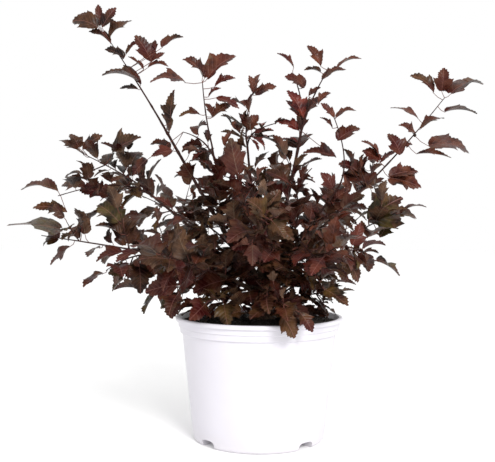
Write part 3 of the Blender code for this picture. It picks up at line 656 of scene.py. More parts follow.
def make_drain_cutter(index):
    """An arched bar that cuts one drain notch into the foot from outside."""
    steps = 16
    outline = [(-0.5 * DRAIN_WIDTH, -0.002), (0.5 * DRAIN_WIDTH, -0.002)]
    for k in range(steps + 1):
        angle = math.pi * k / steps
        across = 0.5 * DRAIN_WIDTH * math.copysign(abs(math.cos(angle)) ** 0.6, math.cos(angle))
        outline.append((across, DRAIN_HEIGHT * (0.35 + 0.65 * math.sin(angle) ** 0.8)))
    turn = math.radians(DRAIN_TURN - 90.0 + 360.0 * index / DRAIN_COUNT)
    out = Vector((math.cos(turn), math.sin(turn), 0.0))
    side = Vector((-out.y, out.x, 0.0))
    near = POT_FOOT_RADIUS - DRAIN_REACH
    far = POT_FOOT_RADIUS + 0.010
    points = [out * near + side * a + UP * h for a, h in outline]
    points += [out * far + side * a + UP * h for a, h in outline]
    count = len(outline)
    faces = [tuple(range(count)), tuple(range(2 * count - 1, count - 1, -1))]
    for k in range(count):
        after = (k + 1) % count
        faces.append((k, after, count + after, count + k))
    return add_mesh("drain_cutter_%d" % index, points, faces, smooth=False)


def make_pot():
    """The pot again with a finer turning, its drain notches cut in."""
    profile = [(0.0, 0.0)] + pot_outside(FINE_ARC) + pot_inside(0.0) + [(0.0, POT_FLOOR)]
    points, faces = turned(profile, POT_FINE_SIDES)
    pot = add_mesh("pot_shell", points, faces, [plastic_material()], smooth=False)
    cutters = [make_drain_cutter(k) for k in range(DRAIN_COUNT)]
    for cutter in cutters:
        modifier = pot.modifiers.new(cutter.name, "BOOLEAN")
        modifier.operation = "DIFFERENCE"
        modifier.solver = "EXACT"
        modifier.object = cutter
    cut = bpy.data.meshes.new_from_object(pot.evaluated_get(bpy.context.evaluated_depsgraph_get()))
    pot.modifiers.clear()
    pot.data = cut
    for cutter in cutters:
        bpy.data.objects.remove(cutter)
    cut.shade_smooth()
    cut.set_sharp_from_angle(angle=math.radians(POT_SHARP))
    declare(pot, ["pot"])


def mound(radius, edge):
    """The height of the soil at a distance from the pot's axis."""
    return SOIL_TOP + SOIL_CROWN * min(1.0, max(0.0, (edge - radius) / (edge - SOIL_FLAT)))


def make_soil():
    """The soil's crumbly top, with loose crumbs half sunk in it."""
    chance = random.Random(SOIL_SEED)
    edge = POT_TOP_RADIUS - SOIL_INSET - GAP
    verts = []
    faces = []
    for ring in range(SOIL_RINGS + 1):
        radius = edge * ring / SOIL_RINGS
        height = mound(radius, edge)
        for k in range(SOIL_SIDES):
            angle = 2.0 * math.pi * k / SOIL_SIDES
            x, y = radius * math.cos(angle), radius * math.sin(angle)
            rough = sum(deep * noise(Vector((x, y, layer)) * fine) for deep, fine, layer in SOIL_ROUGH)
            fade = min(1.0, 6.0 * (1.0 - ring / SOIL_RINGS))
            verts.append(Vector((x, y, height + rough * fade)))
    for ring in range(SOIL_RINGS):
        for k in range(SOIL_SIDES):
            after = (k + 1) % SOIL_SIDES
            low, high = ring * SOIL_SIDES, (ring + 1) * SOIL_SIDES
            faces.append((low + k, high + k, high + after, low + after))
    bottom = len(verts)
    rim = SOIL_RINGS * SOIL_SIDES
    for top in verts[rim:bottom]:
        verts.append(Vector((SOIL_SKIRT * top.x, SOIL_SKIRT * top.y, top.z - SOIL_DEPTH)))
    for k in range(SOIL_SIDES):
        after = (k + 1) % SOIL_SIDES
        faces.append((rim + k, bottom + k, bottom + after, rim + after))
    faces.append(tuple(bottom + k for k in range(SOIL_SIDES))[::-1])
    for _ in range(SOIL_CRUMBS):
        turn = chance.uniform(0.0, 2.0 * math.pi)
        radius = (edge - 0.004) * math.sqrt(chance.random())
        size = chance.uniform(*CRUMB_SIZE)
        height = mound(radius, edge) + 0.2 * size
        middle = Vector((radius * math.cos(turn), radius * math.sin(turn), height))
        start = len(verts)
        stretch = chance.uniform(0.5, 1.0)
        spin = chance.uniform(0.0, math.pi)
        for corner in CRUMB_CORNERS:
            push = Vector(corner) * size * chance.uniform(0.7, 1.1)
            push.y *= stretch
            push.rotate(Vector((0.3, 0.2, spin)).to_track_quat("Z", "Y"))
            verts.append(middle + push)
        faces.extend(tuple(start + k for k in face) for face in CRUMB_FACES)
    soil = add_mesh("soil_top", verts, faces, [soil_material()], smooth=False)
    built = bmesh.new()
    built.from_mesh(soil.data)
    bmesh.ops.remove_doubles(built, verts=built.verts[:SOIL_SIDES], dist=1.0e-6)
    bmesh.ops.recalc_face_normals(built, faces=built.faces[:])
    built.to_mesh(soil.data)
    built.free()
    soil.data.shade_smooth()
    soil.data.set_sharp_from_angle(angle=math.radians(SOIL_SHARP))
    declare(soil, ["soil"])


def stem_profile(grow):
    """The short stem's profile, grown outwards by the given amount."""
    return [
        (0.0, -grow),
        (STEM_RADIUS + STEM_FLARE + grow, -grow),
        (STEM_RADIUS + 0.35 * STEM_FLARE + grow, 0.006),
        (STEM_RADIUS + grow, 0.016),
        (0.92 * STEM_RADIUS + grow, 0.72 * STEM_HEIGHT),
        (0.70 * STEM_RADIUS + grow, STEM_HEIGHT - 0.004 + grow),
        (0.42 * STEM_RADIUS + grow, STEM_HEIGHT + grow),
        (0.0, STEM_HEIGHT + grow),
    ]


def stem_foot():
    """The middle of the flat cut under the short stem."""
    return Vector((STEM_X, 0.0, STEM_BOTTOM))


def seat_point(seat):
    """A point inside the short stem, under the place where a limb leaves it."""
    turn = math.radians(seat.turn)
    height = min(seat.height, 0.86 * STEM_HEIGHT)
    inner = 0.45 * STEM_RADIUS
    return stem_foot() + Vector((inner * math.cos(turn), inner * math.sin(turn), height))


def bent(start, knee, end, steps):
    """Points of a smooth bend from start to end that leans towards the knee."""
    points = []
    for k in range(steps + 1):
        share = k / steps
        points.append(start.lerp(knee, share).lerp(knee.lerp(end, share), share))
    return points


def cane_path(cane, steps=CANE_STEPS):
    """The cane's middle line from inside the short stem to its tip."""
    start = seat_point(Seat(cane.turn, cane.height))
    end = Vector(cane.tip)
    span = end - start
    out = Vector((math.cos(math.radians(cane.turn)), math.sin(math.radians(cane.turn)), 0.0))
    knee = start.lerp(end, 0.42) + UP * (cane.bow * span.length) + out * (0.04 * span.length)
    return bent(start, knee, end, steps)


def heading(points):
    """The direction in which a path ends."""
    return (points[-1] - points[-2]).normalized()


def mass_path(mass, steps=STEM_STEPS):
    """The middle stem of a mass, from its carrier to its tip."""
    end = Vector(mass.tip)
    if isinstance(mass.carrier, Seat):
        start = seat_point(mass.carrier)
        span = end - start
        knee = start.lerp(end, 0.5) + UP * (0.16 * span.length)
        return bent(start, knee, end, steps)
    path = cane_path(CANE_BY_NAME[mass.carrier], 4 * CANE_STEPS)
    along = heading(path)
    start = path[-1] + along * GAP
    partner = [other for other in MASSES if other.carrier == mass.carrier and other.name != mass.name]
    if partner:
        apart = end - Vector(partner[0].tip)
        apart -= along * apart.dot(along)
        start += apart.normalized() * FORK_SHIFT
    knee = start + along * (0.42 * (end - start).length)
    return bent(start, knee, end, steps)


def tube(points, start_radius, end_radius, sides, roll=0.0):
    """A tapering tube with flat ends along a path, as points and faces."""
    tangents = []
    for k in range(len(points)):
        before = points[max(k - 1, 0)]
        after = points[min(k + 1, len(points) - 1)]
        tangents.append((after - before).normalized())
    tangents[0] = (points[1] - points[0]).normalized()
    across = tangents[0].orthogonal().normalized()
    verts = []
    faces = []
    for k, point in enumerate(points):
        across = (across - tangents[k] * across.dot(tangents[k])).normalized()
        other = tangents[k].cross(across)
        share = k / (len(points) - 1)
        radius = start_radius + (end_radius - start_radius) * share
        for j in range(sides):
            angle = roll + 2.0 * math.pi * j / sides
            verts.append(point + (across * math.cos(angle) + other * math.sin(angle)) * radius)
    for k in range(len(points) - 1):
        for j in range(sides):
            after = (j + 1) % sides
            low = k * sides
            high = low + sides
            faces.append((low + j, low + after, high + after, high + j))
    faces.append(tuple(range(sides - 1, -1, -1)))
    faces.append(tuple(range(len(verts) - sides, len(verts))))
    return verts, faces


def cane_tube(cane, grow=0.0):
    """The cane as a tapering tube."""
    end_radius = cane.radius * CANE_TAPER + grow
    return tube(cane_path(cane), cane.radius + grow, end_radius, CANE_SIDES)


def leaf_shape(root, along, face, length):
    """A three-lobed leaf: its root, its direction, the way it faces, and its length."""
    side = face.cross(along).normalized()
    half = 0.5 * LEAF_THICK * length

    def place(ahead, across, lift):
        return root + along * (ahead * length) + side * (across * length) + face * lift

    lobe_lift = LEAF_FOLD * length
    sinus_lift = 0.45 * lobe_lift
    verts = [
        place(0.0, 0.0, 0.8 * LEAF_ROOT),
        place(0.0, LEAF_ROOT / length, -0.4 * LEAF_ROOT),
        place(LEAF_LOBE[0], LEAF_LOBE[1], lobe_lift),
        place(LEAF_SINUS[0], LEAF_SINUS[1], sinus_lift),
        place(1.0, 0.0, -LEAF_CURL * length),
        place(LEAF_SINUS[0], -LEAF_SINUS[1], sinus_lift),
        place(LEAF_LOBE[0], -LEAF_LOBE[1], lobe_lift),
        place(0.0, -LEAF_ROOT / length, -0.4 * LEAF_ROOT),
        place(LEAF_MIDDLE, 0.0, half),
        place(LEAF_MIDDLE, 0.0, -half),
    ]
    top_ring = [0, 1, 2, 3, 4, 5, 6, 7]
    low_ring = [1, 2, 3, 4, 5, 6, 7]
    faces = [(0, 7, 1)]
    for k, corner in enumerate(top_ring):
        faces.append((8, top_ring[(k + 1) % len(top_ring)], corner))
    for k, corner in enumerate(low_ring):
        faces.append((9, corner, low_ring[(k + 1) % len(low_ring)]))
    return verts, faces


class Space:
    """The space that a mass keeps to: nearer to its own stem than to any other, within reach."""

    def __init__(self, mass):
        self.reach = mass.reach
        starts = []
        ends = []
        owned = []
        for other in MASSES:
            path = mass_path(other)
            starts.extend(path[:-1])
            ends.extend(path[1:])
            owned.extend([other.name == mass.name] * (len(path) - 1))
        self.starts = np.array([tuple(p) for p in starts])
        self.lines = np.array([tuple(p) for p in ends]) - self.starts
        self.squares = (self.lines ** 2).sum(1)
        self.owned = np.array(owned)

    def holds(self, verts):
        """Whether all points lie in the space."""
        points = np.array([tuple(p) for p in verts])[:, None, :]
        share = ((points - self.starts) * self.lines).sum(2) / self.squares
        off = points - self.starts - self.lines * np.clip(share, 0.0, 1.0)[..., None]
        distance = np.sqrt((off ** 2).sum(2))
        own = distance[:, self.owned].min(1)
        other = distance[:, ~self.owned].min(1)
        return bool((own <= self.reach).all() and (other >= own + 2.0 * SPACE_MARGIN).all())


def tree_of(shape):
    """A search tree of a shape's faces."""
    return BVHTree.FromPolygons([tuple(p) for p in shape[0]], shape[1])


def joined(shapes):
    """Several shapes as one list of points and faces."""
    verts = []
    faces = []
    for shape in shapes:
        start = len(verts)
        verts.extend(shape[0])
        faces.extend(tuple(start + k for k in face) for face in shape[1])
    return verts, faces


def limb_keepout():
    """Canes, short stem, pot and soil, a little grown, which no twig or leaf may touch."""
    shapes = [cane_tube(cane, CLEARANCE) for cane in CANES]
    shapes.append(turned(stem_profile(CLEARANCE), STEM_SIDES, stem_foot()))
    grow = 2.0 * CLEARANCE
    around = [
        (0.0, POT_FLOOR),
        (POT_FOOT_RADIUS + grow, POT_FLOOR),
        (POT_TOP_RADIUS - 0.0070 + grow, POT_HEIGHT - BAND_DEPTH - grow),
        (POT_TOP_RADIUS + grow, POT_HEIGHT - LIP_DEPTH - grow),
        (POT_TOP_RADIUS + grow, POT_HEIGHT + grow),
        (POT_TOP_RADIUS - 0.0060 - grow, POT_HEIGHT + grow),
        (POT_TOP_RADIUS - SOIL_INSET - grow, SOIL_TOP + grow),
        (SOIL_FLAT, SOIL_TOP + SOIL_CROWN + grow),
        (0.0, SOIL_TOP + SOIL_CROWN + grow),
    ]
    shapes.append(turned(around, POT_SIDES))
    return tree_of(joined(shapes))


def leaf_pose(tangent, turn, share, droop, chance):
    """The direction and facing of a leaf or twig that leaves a stem at a turn round it."""
    across = tangent.cross(UP)
    if across.length < 0.15:
        across = tangent.cross(Vector((1.0, 0.0, 0.0)))
    across.normalize()
    other = across.cross(tangent)
    radial = across * math.cos(turn) + other * math.sin(turn)
    spread = 74.0 - 14.0 * share - (46.0 if share > TIP_SHARE else 0.0)
    spread = math.radians(spread + chance.uniform(-8.0, 8.0))
    along = tangent * math.cos(spread) + radial * math.sin(spread)
    along += UP * (0.18 - droop * (1.25 - share))
    along.normalize()
    face = UP * 0.8 + tangent * 0.55 + radial * 0.25
    face += Vector([chance.uniform(-0.45, 0.45) for _ in range(3)])
    face -= along * face.dot(along)
    return along, face.normalized()


def point_along(path, share):
    """The point and direction at a share of a path."""
    place = share * (len(path) - 1)
    k = min(int(place), len(path) - 2)
    return path[k].lerp(path[k + 1], place - k), (path[k + 1] - path[k]).normalized()


def tone_name(mass):
    """The tone of a mass: red high in the middle, olive low at the sides, else purple."""
    across = abs(mass.tip[0])
    height = mass.tip[2]
    if across < RED_HALF_WIDTH and height > RED_FROM_HEIGHT:
        return "leaf_red"
    if across > OLIVE_FROM_WIDTH and height < OLIVE_TO_HEIGHT:
        return "leaf_olive"
    return "leaf_purple"


def blade_template(half, teeth):
    """A flat leaf blade, closed and thin, from the named points of its half outline.

    Gives points (ahead, across, side of the sheet) and faces of the top, then of the underside.
    """
    rim = []
    per = len(half) - 1
    for k in range(1, BLADE_ROWS):
        share = per * k / BLADE_ROWS
        a, b = half[int(share)], half[int(share) + 1]
        part = share - int(share)
        ahead = a[0] + (b[0] - a[0]) * part
        across = a[1] + (b[1] - a[1]) * part
        tooth = teeth * (1.0 if k % 2 else -0.6)
        rim.append((ahead + 0.7 * tooth, across + tooth))
    points = [(0.0, 0.0, 0.0)]
    columns = range(-BLADE_COLUMNS, BLADE_COLUMNS + 1)
    number = {}
    for layer in (0, 1):
        for row, (ahead, across) in enumerate(rim):
            spine = ((row + 1) / BLADE_ROWS) ** 1.15
            for column in columns:
                if layer and abs(column) == BLADE_COLUMNS:
                    number[1, row, column] = number[0, row, column]
                    continue
                share = abs(column) / BLADE_COLUMNS
                number[layer, row, column] = len(points)
                sign = (column > 0) - (column < 0)
                points.append((spine + (ahead - spine) * share, sign * across * share, float(layer)))
    tip = len(points)
    points.append((1.0, 0.0, 0.0))
    faces = []
    for layer in (0, 1):
        sheet = []
        for column in list(columns)[:-1]:
            sheet.append((0, number[layer, 0, column], number[layer, 0, column + 1]))
            for row in range(len(rim) - 1):
                sheet.append((number[layer, row, column], number[layer, row + 1, column],
                              number[layer, row + 1, column + 1], number[layer, row, column + 1]))
            last = len(rim) - 1
            sheet.append((number[layer, last, column], tip, number[layer, last, column + 1]))
        faces.append([face[::-1] if layer else face for face in sheet])
    return np.array(points), faces


def bend_blades(template, leaves):
    """The template's points bent and placed for each leaf, as an array of leaves by points."""
    ahead, across, layer = template[:, 0][None], template[:, 1][None], template[:, 2][None]
    ways = (np.array([getattr(leaf, name) for leaf in leaves])[:, None] for name in BLADE_WAYS)
    size, fold, curl, wave, phase, width, twist = ways
    width_here = np.abs(across) * width
    fold_here = fold * (1.0 - 0.35 * ahead)
    ripple = wave * np.sin(9.0 * ahead + phase + 2.0 * np.sign(across)) * width_here * 2.0
    sag = LOBE_SAG * width_here ** 2
    rank = VEIN_COUNT * (ahead - VEIN_SLANT * np.abs(across))
    quilt = QUILT * np.sin(2.0 * math.pi * rank) * (width_here > 0.02)
    side = np.sign(across) * width_here * np.cos(fold_here)
    lift = width_here * np.sin(fold_here) + ripple - sag + quilt - layer * LEAF_SHEET / size
    turn = twist * ahead
    side, lift = side * np.cos(turn) - lift * np.sin(turn), side * np.sin(turn) + lift * np.cos(turn)
    bend = curl * ahead
    front = np.sin(bend) / curl + lift * np.sin(bend)
    high = -(1.0 - np.cos(bend)) / curl + lift * np.cos(bend)
    along = np.array([leaf.along for leaf in leaves])[:, None, :]
    face = np.array([leaf.face for leaf in leaves])[:, None, :]
    base = np.array([leaf.base for leaf in leaves])[:, None, :]
    half = 0.5 * curl[..., None]
    ahead_way = along * np.cos(half) + face * np.sin(half)
    up_way = face * np.cos(half) - along * np.sin(half)
    side_way = np.cross(face, along)
    spread = front[..., None] * ahead_way + side[..., None] * side_way + high[..., None] * up_way
    return base + size[..., None] * spread


def joined_mesh(name, blocks, materials):
    """One mesh from blocks of (points, faces, material numbers, leaf coordinates)."""
    verts = np.concatenate([block[0] for block in blocks])
    starts = np.cumsum([0] + [len(block[0]) for block in blocks[:-1]])
    loops = []
    sizes = []
    tints = []
    for start, (_, faces, tint, _) in zip(starts, blocks):
        for face in faces:
            loops.extend(start + k for k in face)
            sizes.append(len(face))
        tints.extend(tint)
    mesh = bpy.data.meshes.new(name)
    mesh.vertices.add(len(verts))
    mesh.vertices.foreach_set("co", verts.astype(np.float32).ravel())
    mesh.loops.add(len(loops))
    mesh.loops.foreach_set("vertex_index", np.array(loops, np.int32))
    mesh.polygons.add(len(sizes))
    sizes = np.array(sizes, np.int32)
    mesh.polygons.foreach_set("loop_start", np.concatenate([[0], np.cumsum(sizes)[:-1]]).astype(np.int32))
    mesh.polygons.foreach_set("material_index", np.array(tints, np.int32))
    mesh.update(calc_edges=True)
    if blocks[0][3] is not None:
        layer = mesh.uv_layers.new(name="leaf")
        flat = np.concatenate([block[3] for block in blocks])
        layer.data.foreach_set("uv", flat[np.array(loops)].astype(np.float32).ravel())
    for material in materials:
        mesh.materials.append(material)
    mesh.validate()
    mesh.shade_smooth()
    mesh.set_sharp_from_angle(angle=math.radians(LEAF_SHARP))
    item = bpy.data.objects.new(name, mesh)
    bpy.context.scene.collection.objects.link(item)
    return item


class Grower:
    """Grows the twigs and leaves of one mass by the source's rule, then finer ones."""

    def __init__(self, mass, keepout, neighbours):
        self.mass = mass
        self.chance = random.Random(mass.seed)
        self.space = Space(mass)
        self.keepout = keepout
        self.neighbours = neighbours
        self.path = mass_path(mass)
        self.pieces = [tube(self.path, TWIG_RADIUS, TWIG_END, TWIG_SIDES)]
        self.trees = [tree_of(self.pieces[0])]
        self.twigs = []
        self.leaves = []
        self.features = []

    def fits(self, shape, rooted_on):
        """Whether a new piece keeps to the space and touches only what it is rooted on."""
        if not self.space.holds(shape[0]):
            return False
        tree = tree_of(shape)
        if tree.overlap(self.keepout):
            return False
        if any(tree.overlap(other) for other in self.neighbours):
            return False
        return not any(tree.overlap(other) for k, other in enumerate(self.trees) if k != rooted_on)

    def keep(self, shape):
        """Keeps a piece and gives its number."""
        self.pieces.append(shape)
        self.trees.append(tree_of(shape))
        return len(self.pieces) - 1

    def grow_leaf(self, path, share, turn, length, rooted_on):
        """One leaf at a share of a path, turned a little further until it fits."""
        root, tangent = point_along(path, share)
        for attempt in range(LEAF_TRIES):
            swing = turn + 0.55 * attempt * (-1) ** attempt
            along, face = leaf_pose(tangent, swing, share, self.mass.droop, self.chance)
            size = length * (1.0 - 0.04 * attempt)
            shape = leaf_shape(root, along, face, size)
            if self.fits(shape, rooted_on):
                self.keep(shape)
                self.leaves.append(Spot(root, along, face, size, rooted_on))
                return

    def grow_leaves(self, path, first, count, size, rooted_on):
        """Leaves that alternate along a path, with one at its tip."""
        phase = self.chance.uniform(0.0, 2.0 * math.pi)
        for k in range(count):
            share = first + (0.97 - first) * k / max(count - 1, 1)
            length = size * (1.08 - 0.22 * share) * self.chance.uniform(0.90, 1.10)
            self.grow_leaf(path, share, phase + k * GOLDEN_TURN, length, rooted_on)

    def grow_twig(self, path, share, turn, length, leaves, size):
        """A side twig with its leaves."""
        root, tangent = point_along(path, share)
        for attempt in range(LEAF_TRIES):
            along, _ = leaf_pose(tangent, turn + 0.7 * attempt, share, 0.3 * self.mass.droop, self.chance)
            reach = length * (1.0 - 0.07 * attempt)
            end = root + along * reach
            twig = bent(root, root.lerp(end, 0.5) - UP * 0.08 * reach, end, TWIG_STEPS)
            shape = tube(twig, 0.8 * TWIG_RADIUS, TWIG_END, TWIG_SIDES, 0.4)
            if self.fits(shape, 0):
                number = self.keep(shape)
                self.twigs.append((twig, number))
                self.grow_leaves(twig, 0.45, leaves, size, number)
                return

    def grow(self):
        """The twigs and leaves that the solid of the mass has."""
        first = 0.34 if isinstance(self.mass.carrier, Seat) else 0.16
        whole = (self.path[-1] - self.path[0]).length
        length = min(0.34 * whole, 0.62 * self.mass.reach)
        turn = self.chance.uniform(0.0, 2.0 * math.pi)
        for k in range(self.mass.twigs):
            share = first + 0.10 + 0.34 * k / max(self.mass.twigs, 1)
            self.grow_twig(self.path, share, turn + 2.4 * k, length, 3, 0.92 * self.mass.leaf)
        self.grow_leaves(self.path, first, self.mass.leaves, self.mass.leaf, 0)

    def refine(self):
        """Finer twigs and smaller leaves between those of the solid."""
        self.chance = random.Random(self.mass.seed + FINE_SEED)
        first = FINE_FROM_LOW if isinstance(self.mass.carrier, Seat) else FINE_FROM
        open_top = self.mass.tip[2] > OPEN_FROM_HEIGHT
        side = abs(self.mass.tip[0]) > OPEN_FROM_WIDTH
        count = FINE_TWIGS_OPEN if open_top else FINE_TWIGS_SIDE if side else FINE_TWIGS_DENSE
        for k in range(count):
            share = first + (FINE_TO - first) * (k + self.chance.random()) / count
            length = self.mass.reach * self.chance.uniform(*FINE_TWIG_REACH)
            turn = self.chance.uniform(0.0, 2.0 * math.pi)
            size = self.mass.leaf * self.chance.uniform(*FINE_TWIG_LEAF)
            self.grow_twig(self.path, share, turn, length, 3, size)
        extra = FINE_LEAVES_OPEN if open_top else FINE_LEAVES_SIDE if side else FINE_LEAVES_DENSE
        size = FINE_LEAF_SHARE * self.mass.leaf
        self.grow_leaves(self.path, first, extra, size, 0)
        for twig, number in list(self.twigs):
            self.grow_leaves(twig, 0.40, 2, 0.9 * size, number)


def grow_masses():
    """All masses grown by the rule, then refined one by one."""
    keepout = limb_keepout()
    neighbours = []
    growers = []
    for mass in MASSES:
        grower = Grower(mass, keepout, list(neighbours))
        grower.grow()
        neighbours.append(tree_of(joined(grower.pieces)))
        growers.append(grower)
    for index, grower in enumerate(growers):
        grower.neighbours = neighbours[:index] + neighbours[index + 1:]
        grower.refine()
        neighbours[index] = tree_of(joined(grower.pieces))
    return growers


def from_photo(pixel, depth):
    """The place in the scene of a pixel of the photo, at a depth along +Y."""
    away = (depth - PHOTO_EYE[1]) / PHOTO_FOCUS
    across = PHOTO_EYE[0] + (pixel[0] - PHOTO_MIDDLE[0]) * away
    return Vector((across, depth, PHOTO_EYE[2] + (PHOTO_MIDDLE[1] - pixel[1]) * away))


def add_features(grower):
    """The leaves that stand out in the photo, each on a stalk from the mass's own stem."""
    name = grower.mass.name
    if name in FEATURES_ALONE:
        grower.leaves = []
        grower.twigs = []
    grower.leaves = [leaf for leaf in grower.leaves if (leaf.root + leaf.along * leaf.length).x > LEFT_END]
    chance = random.Random(FEATURE_SEED + grower.mass.seed)
    stem = smooth_path(grower.path, FEATURE_SMOOTH)
    for base_pixel, tip_pixel in FEATURES.get(name, []):
        seats = [(point - from_photo(base_pixel, point.y)).length for point in stem]
        seat = stem[seats.index(min(seats))]
        base = from_photo(base_pixel, seat.y)
        length = (from_photo(tip_pixel, seat.y) - base).length
        base = from_photo(base_pixel, seat.y + chance.uniform(-FEATURE_SHIFT, FEATURE_SHIFT) * length)
        tip = from_photo(tip_pixel, base.y + chance.uniform(-FEATURE_DEPTH, FEATURE_DEPTH) * length)
        along = (tip - base).normalized()
        face = UP * chance.uniform(0.5, 1.0) - Vector((0.0, 1.0, 0.0)) * chance.uniform(0.25, 1.0)
        face += Vector((chance.uniform(-0.2, 0.2), 0.0, 0.0))
        face = (face - along * face.dot(along)).normalized()
        grower.features.append(Feature(seat, base, along, face, (tip - base).length))


def grow_cane_leaves(growers):
    """Small leaves along the canes, where they fit between the masses."""
    around = limb_keepout()
    trees = [tree_of(joined(grower.pieces)) for grower in growers]
    chance = random.Random(CANE_LEAF_SEED)
    kept = []
    for cane in CANES:
        path = cane_path(cane)
        turn = chance.uniform(0.0, 2.0 * math.pi)
        for k in range(CANE_LEAVES):
            share = CANE_LEAF_FROM + CANE_LEAF_SPAN * (k + chance.random()) / CANE_LEAVES
            root, tangent = point_along(path, share)
            for attempt in range(LEAF_TRIES):
                way = turn + k * GOLDEN_TURN + 0.9 * attempt
                along, face = leaf_pose(tangent, way, share, CANE_LEAF_DROOP, chance)
                length = chance.uniform(*CANE_LEAF_SIZE)
                base = root + along * (CANE_STALK + cane.radius)
                shape = leaf_shape(base, along, face, length)
                tree = tree_of(shape)
                if tree.overlap(around) or any(tree.overlap(other) for other in trees):
                    continue
                trees.append(tree)
                kept.append(Feature(root, base, along, face, length))
                break
    return kept


def deal_tints(spots, slot, chance):
    """A tint for each leaf, the same for the leaves of one spray."""
    weights = TINT_WEIGHTS[slot]
    names = list(TINTS)
    sprays = {}
    dealt = []
    for spot in spots:
        spray = tuple(round(value / SPRAY_SIZE) for value in spot.root)
        if spray not in sprays:
            sprays[spray] = names.index(chance.choices(list(weights), list(weights.values()))[0])
        dealt.append(sprays[spray])
    return dealt


def shaped_leaf(spot, chance):
    """The bends of the blade that stands on a leaf's spot or on a feature's base."""
    high = min(1.0, max(0.0, (spot.root.z - HIGH_FROM) / HIGH_SPAN))
    stalk = STALK_SHARE * chance.uniform(*STALK_RANGE)
    along = spot.along
    face = spot.face
    curl = math.radians(chance.uniform(*CURL_RANGE) + CURL_HIGH * high)
    fold = math.radians(chance.uniform(*FOLD_RANGE) + FOLD_HIGH * high)
    width = chance.uniform(*WIDTH_RANGE) * (1.06 - 0.20 * high)
    if isinstance(spot, Feature):
        base = spot.base
        size = FEATURE_LENGTH * spot.length
        width *= FEATURE_WIDTH
        fold *= FEATURE_FOLD
    else:
        base = spot.root + along * (stalk * spot.length) - face * (0.02 * spot.length)
        size = (1.0 - stalk) * spot.length * chance.uniform(*LEAF_SHRINK)
    twist = math.radians(chance.uniform(*TWIST_RANGE))
    wave = chance.uniform(*WAVE_RANGE)
    kind = chance.choices(range(len(BLADES)), [0.25 + 0.5 * high, 0.45, 0.55 - 0.5 * high])[0]
    phase = chance.uniform(0.0, 6.28)
    return Leaf(tuple(base), tuple(along), tuple(face), size, fold, curl, wave, phase, width, twist), kind


def make_foliage(growers):
    """The leaves and twigs of all masses, joined by tone slot."""
    growers[-1].features.extend(grow_cane_leaves(growers))
    for grower in growers:
        add_features(grower)
    chance = random.Random(TINT_SEED)
    materials = [leaf_material("leaf_" + name, tone) for name, tone in TINTS.items()]
    under = leaf_material("leaf_under", UNDER_TONE, under=True)
    twig_bark = bark_material("twig_bark", TWIG_TONE, TWIG_TONE, 0.10)
    stalk_skin = bark_material("stalk_skin", STALK_TONE, STALK_TONE, 0.10)
    templates = [blade_template(*blade) for blade in BLADES]
    shown = {}
    for grower in growers:
        shown.setdefault(tone_name(grower.mass), []).append(grower)
    for slot, group in shown.items():
        found = {k: [] for k in range(len(BLADES))}
        tints = {k: [] for k in range(len(BLADES))}
        wood = []
        for grower in group:
            spots = grower.leaves + grower.features
            for spot, tint in zip(spots, deal_tints(spots, slot, chance)):
                leaf, kind = shaped_leaf(spot, chance)
                found[kind].append(leaf)
                tints[kind].append(tint)
                wood.append((stalk_tube(spot, leaf), 1))
            wood.extend((shape, 0) for shape in twig_tubes(grower))
        blocks = []
        for kind, (points, faces) in enumerate(templates):
            if not found[kind]:
                continue
            placed = bend_blades(points, found[kind])
            flat = np.stack([points[:, 0], points[:, 1] + 0.5], 1)
            for verts, tint in zip(placed, tints[kind]):
                blocks.append((verts, faces, tint, flat))
        names = [grower.mass.name for grower in group]
        pieces = blades_joined(slot, blocks, materials + [under])
        for item in pieces:
            declare(item, names)
        twigs = wood_joined("twigs_" + slot[5:], wood, [twig_bark, stalk_skin])
        declare(twigs, names)


def blades_joined(slot, blocks, materials):
    """Joined blades: the top faces in their tint, the underside in the last material."""
    whole = []
    for verts, (top, low), tint, flat in blocks:
        whole.append((verts, top + low, [tint] * len(top) + [len(materials) - 1] * len(low), flat))
    per = sum(len(face) - 2 for face in whole[0][1]) if whole else 1
    most = max(1, PIECE_TRIANGLES // per)
    pieces = []
    for start in range(0, len(whole), most):
        name = "foliage_%s_%d" % (slot[5:], start // most)
        pieces.append(joined_mesh(name, whole[start:start + most], materials))
    return pieces


def wood_joined(name, shapes, materials):
    """Joined tubes, each with its material's number."""
    blocks = []
    for (points, faces), tint in shapes:
        blocks.append((np.array([tuple(p) for p in points]), faces, [tint] * len(faces), None))
    return joined_mesh(name, blocks, materials)


def stalk_tube(spot, leaf):
    """The thin petiole from the twig to the blade."""
    base = Vector(leaf.base)
    middle = spot.root.lerp(base, 0.5) - spot.face * (0.03 * spot.length)
    inside = base + spot.along * (0.03 * spot.length)
    return tube([spot.root, middle, base, inside], STALK_RADIUS, 0.7 * STALK_RADIUS, 5)


def twig_tubes(grower):
    """The middle stem of a mass and its side twigs, rounder and longer tapered than the solid's."""
    stem = list(grower.path)
    start_radius = STEM_START
    if not isinstance(grower.mass.carrier, Seat):
        cane = CANE_BY_NAME[grower.mass.carrier]
        path = cane_path(cane)
        start_radius = 0.92 * cane.radius * CANE_TAPER
        stem = [path[-1] - heading(path) * 0.006, path[-1]] + stem[1:]
    seed = grower.mass.seed
    shapes = [knotted_tube(smooth_path(stem, TWIG_SMOOTH), start_radius, STEM_TIP, STEM_ROUND, seed)]
    for twig, _ in grower.twigs:
        path = smooth_path(twig, TWIG_SMOOTH)
        shapes.append(knotted_tube(path, TWIG_START, TWIG_TIP, TWIG_ROUND, seed + 1))
    return shapes


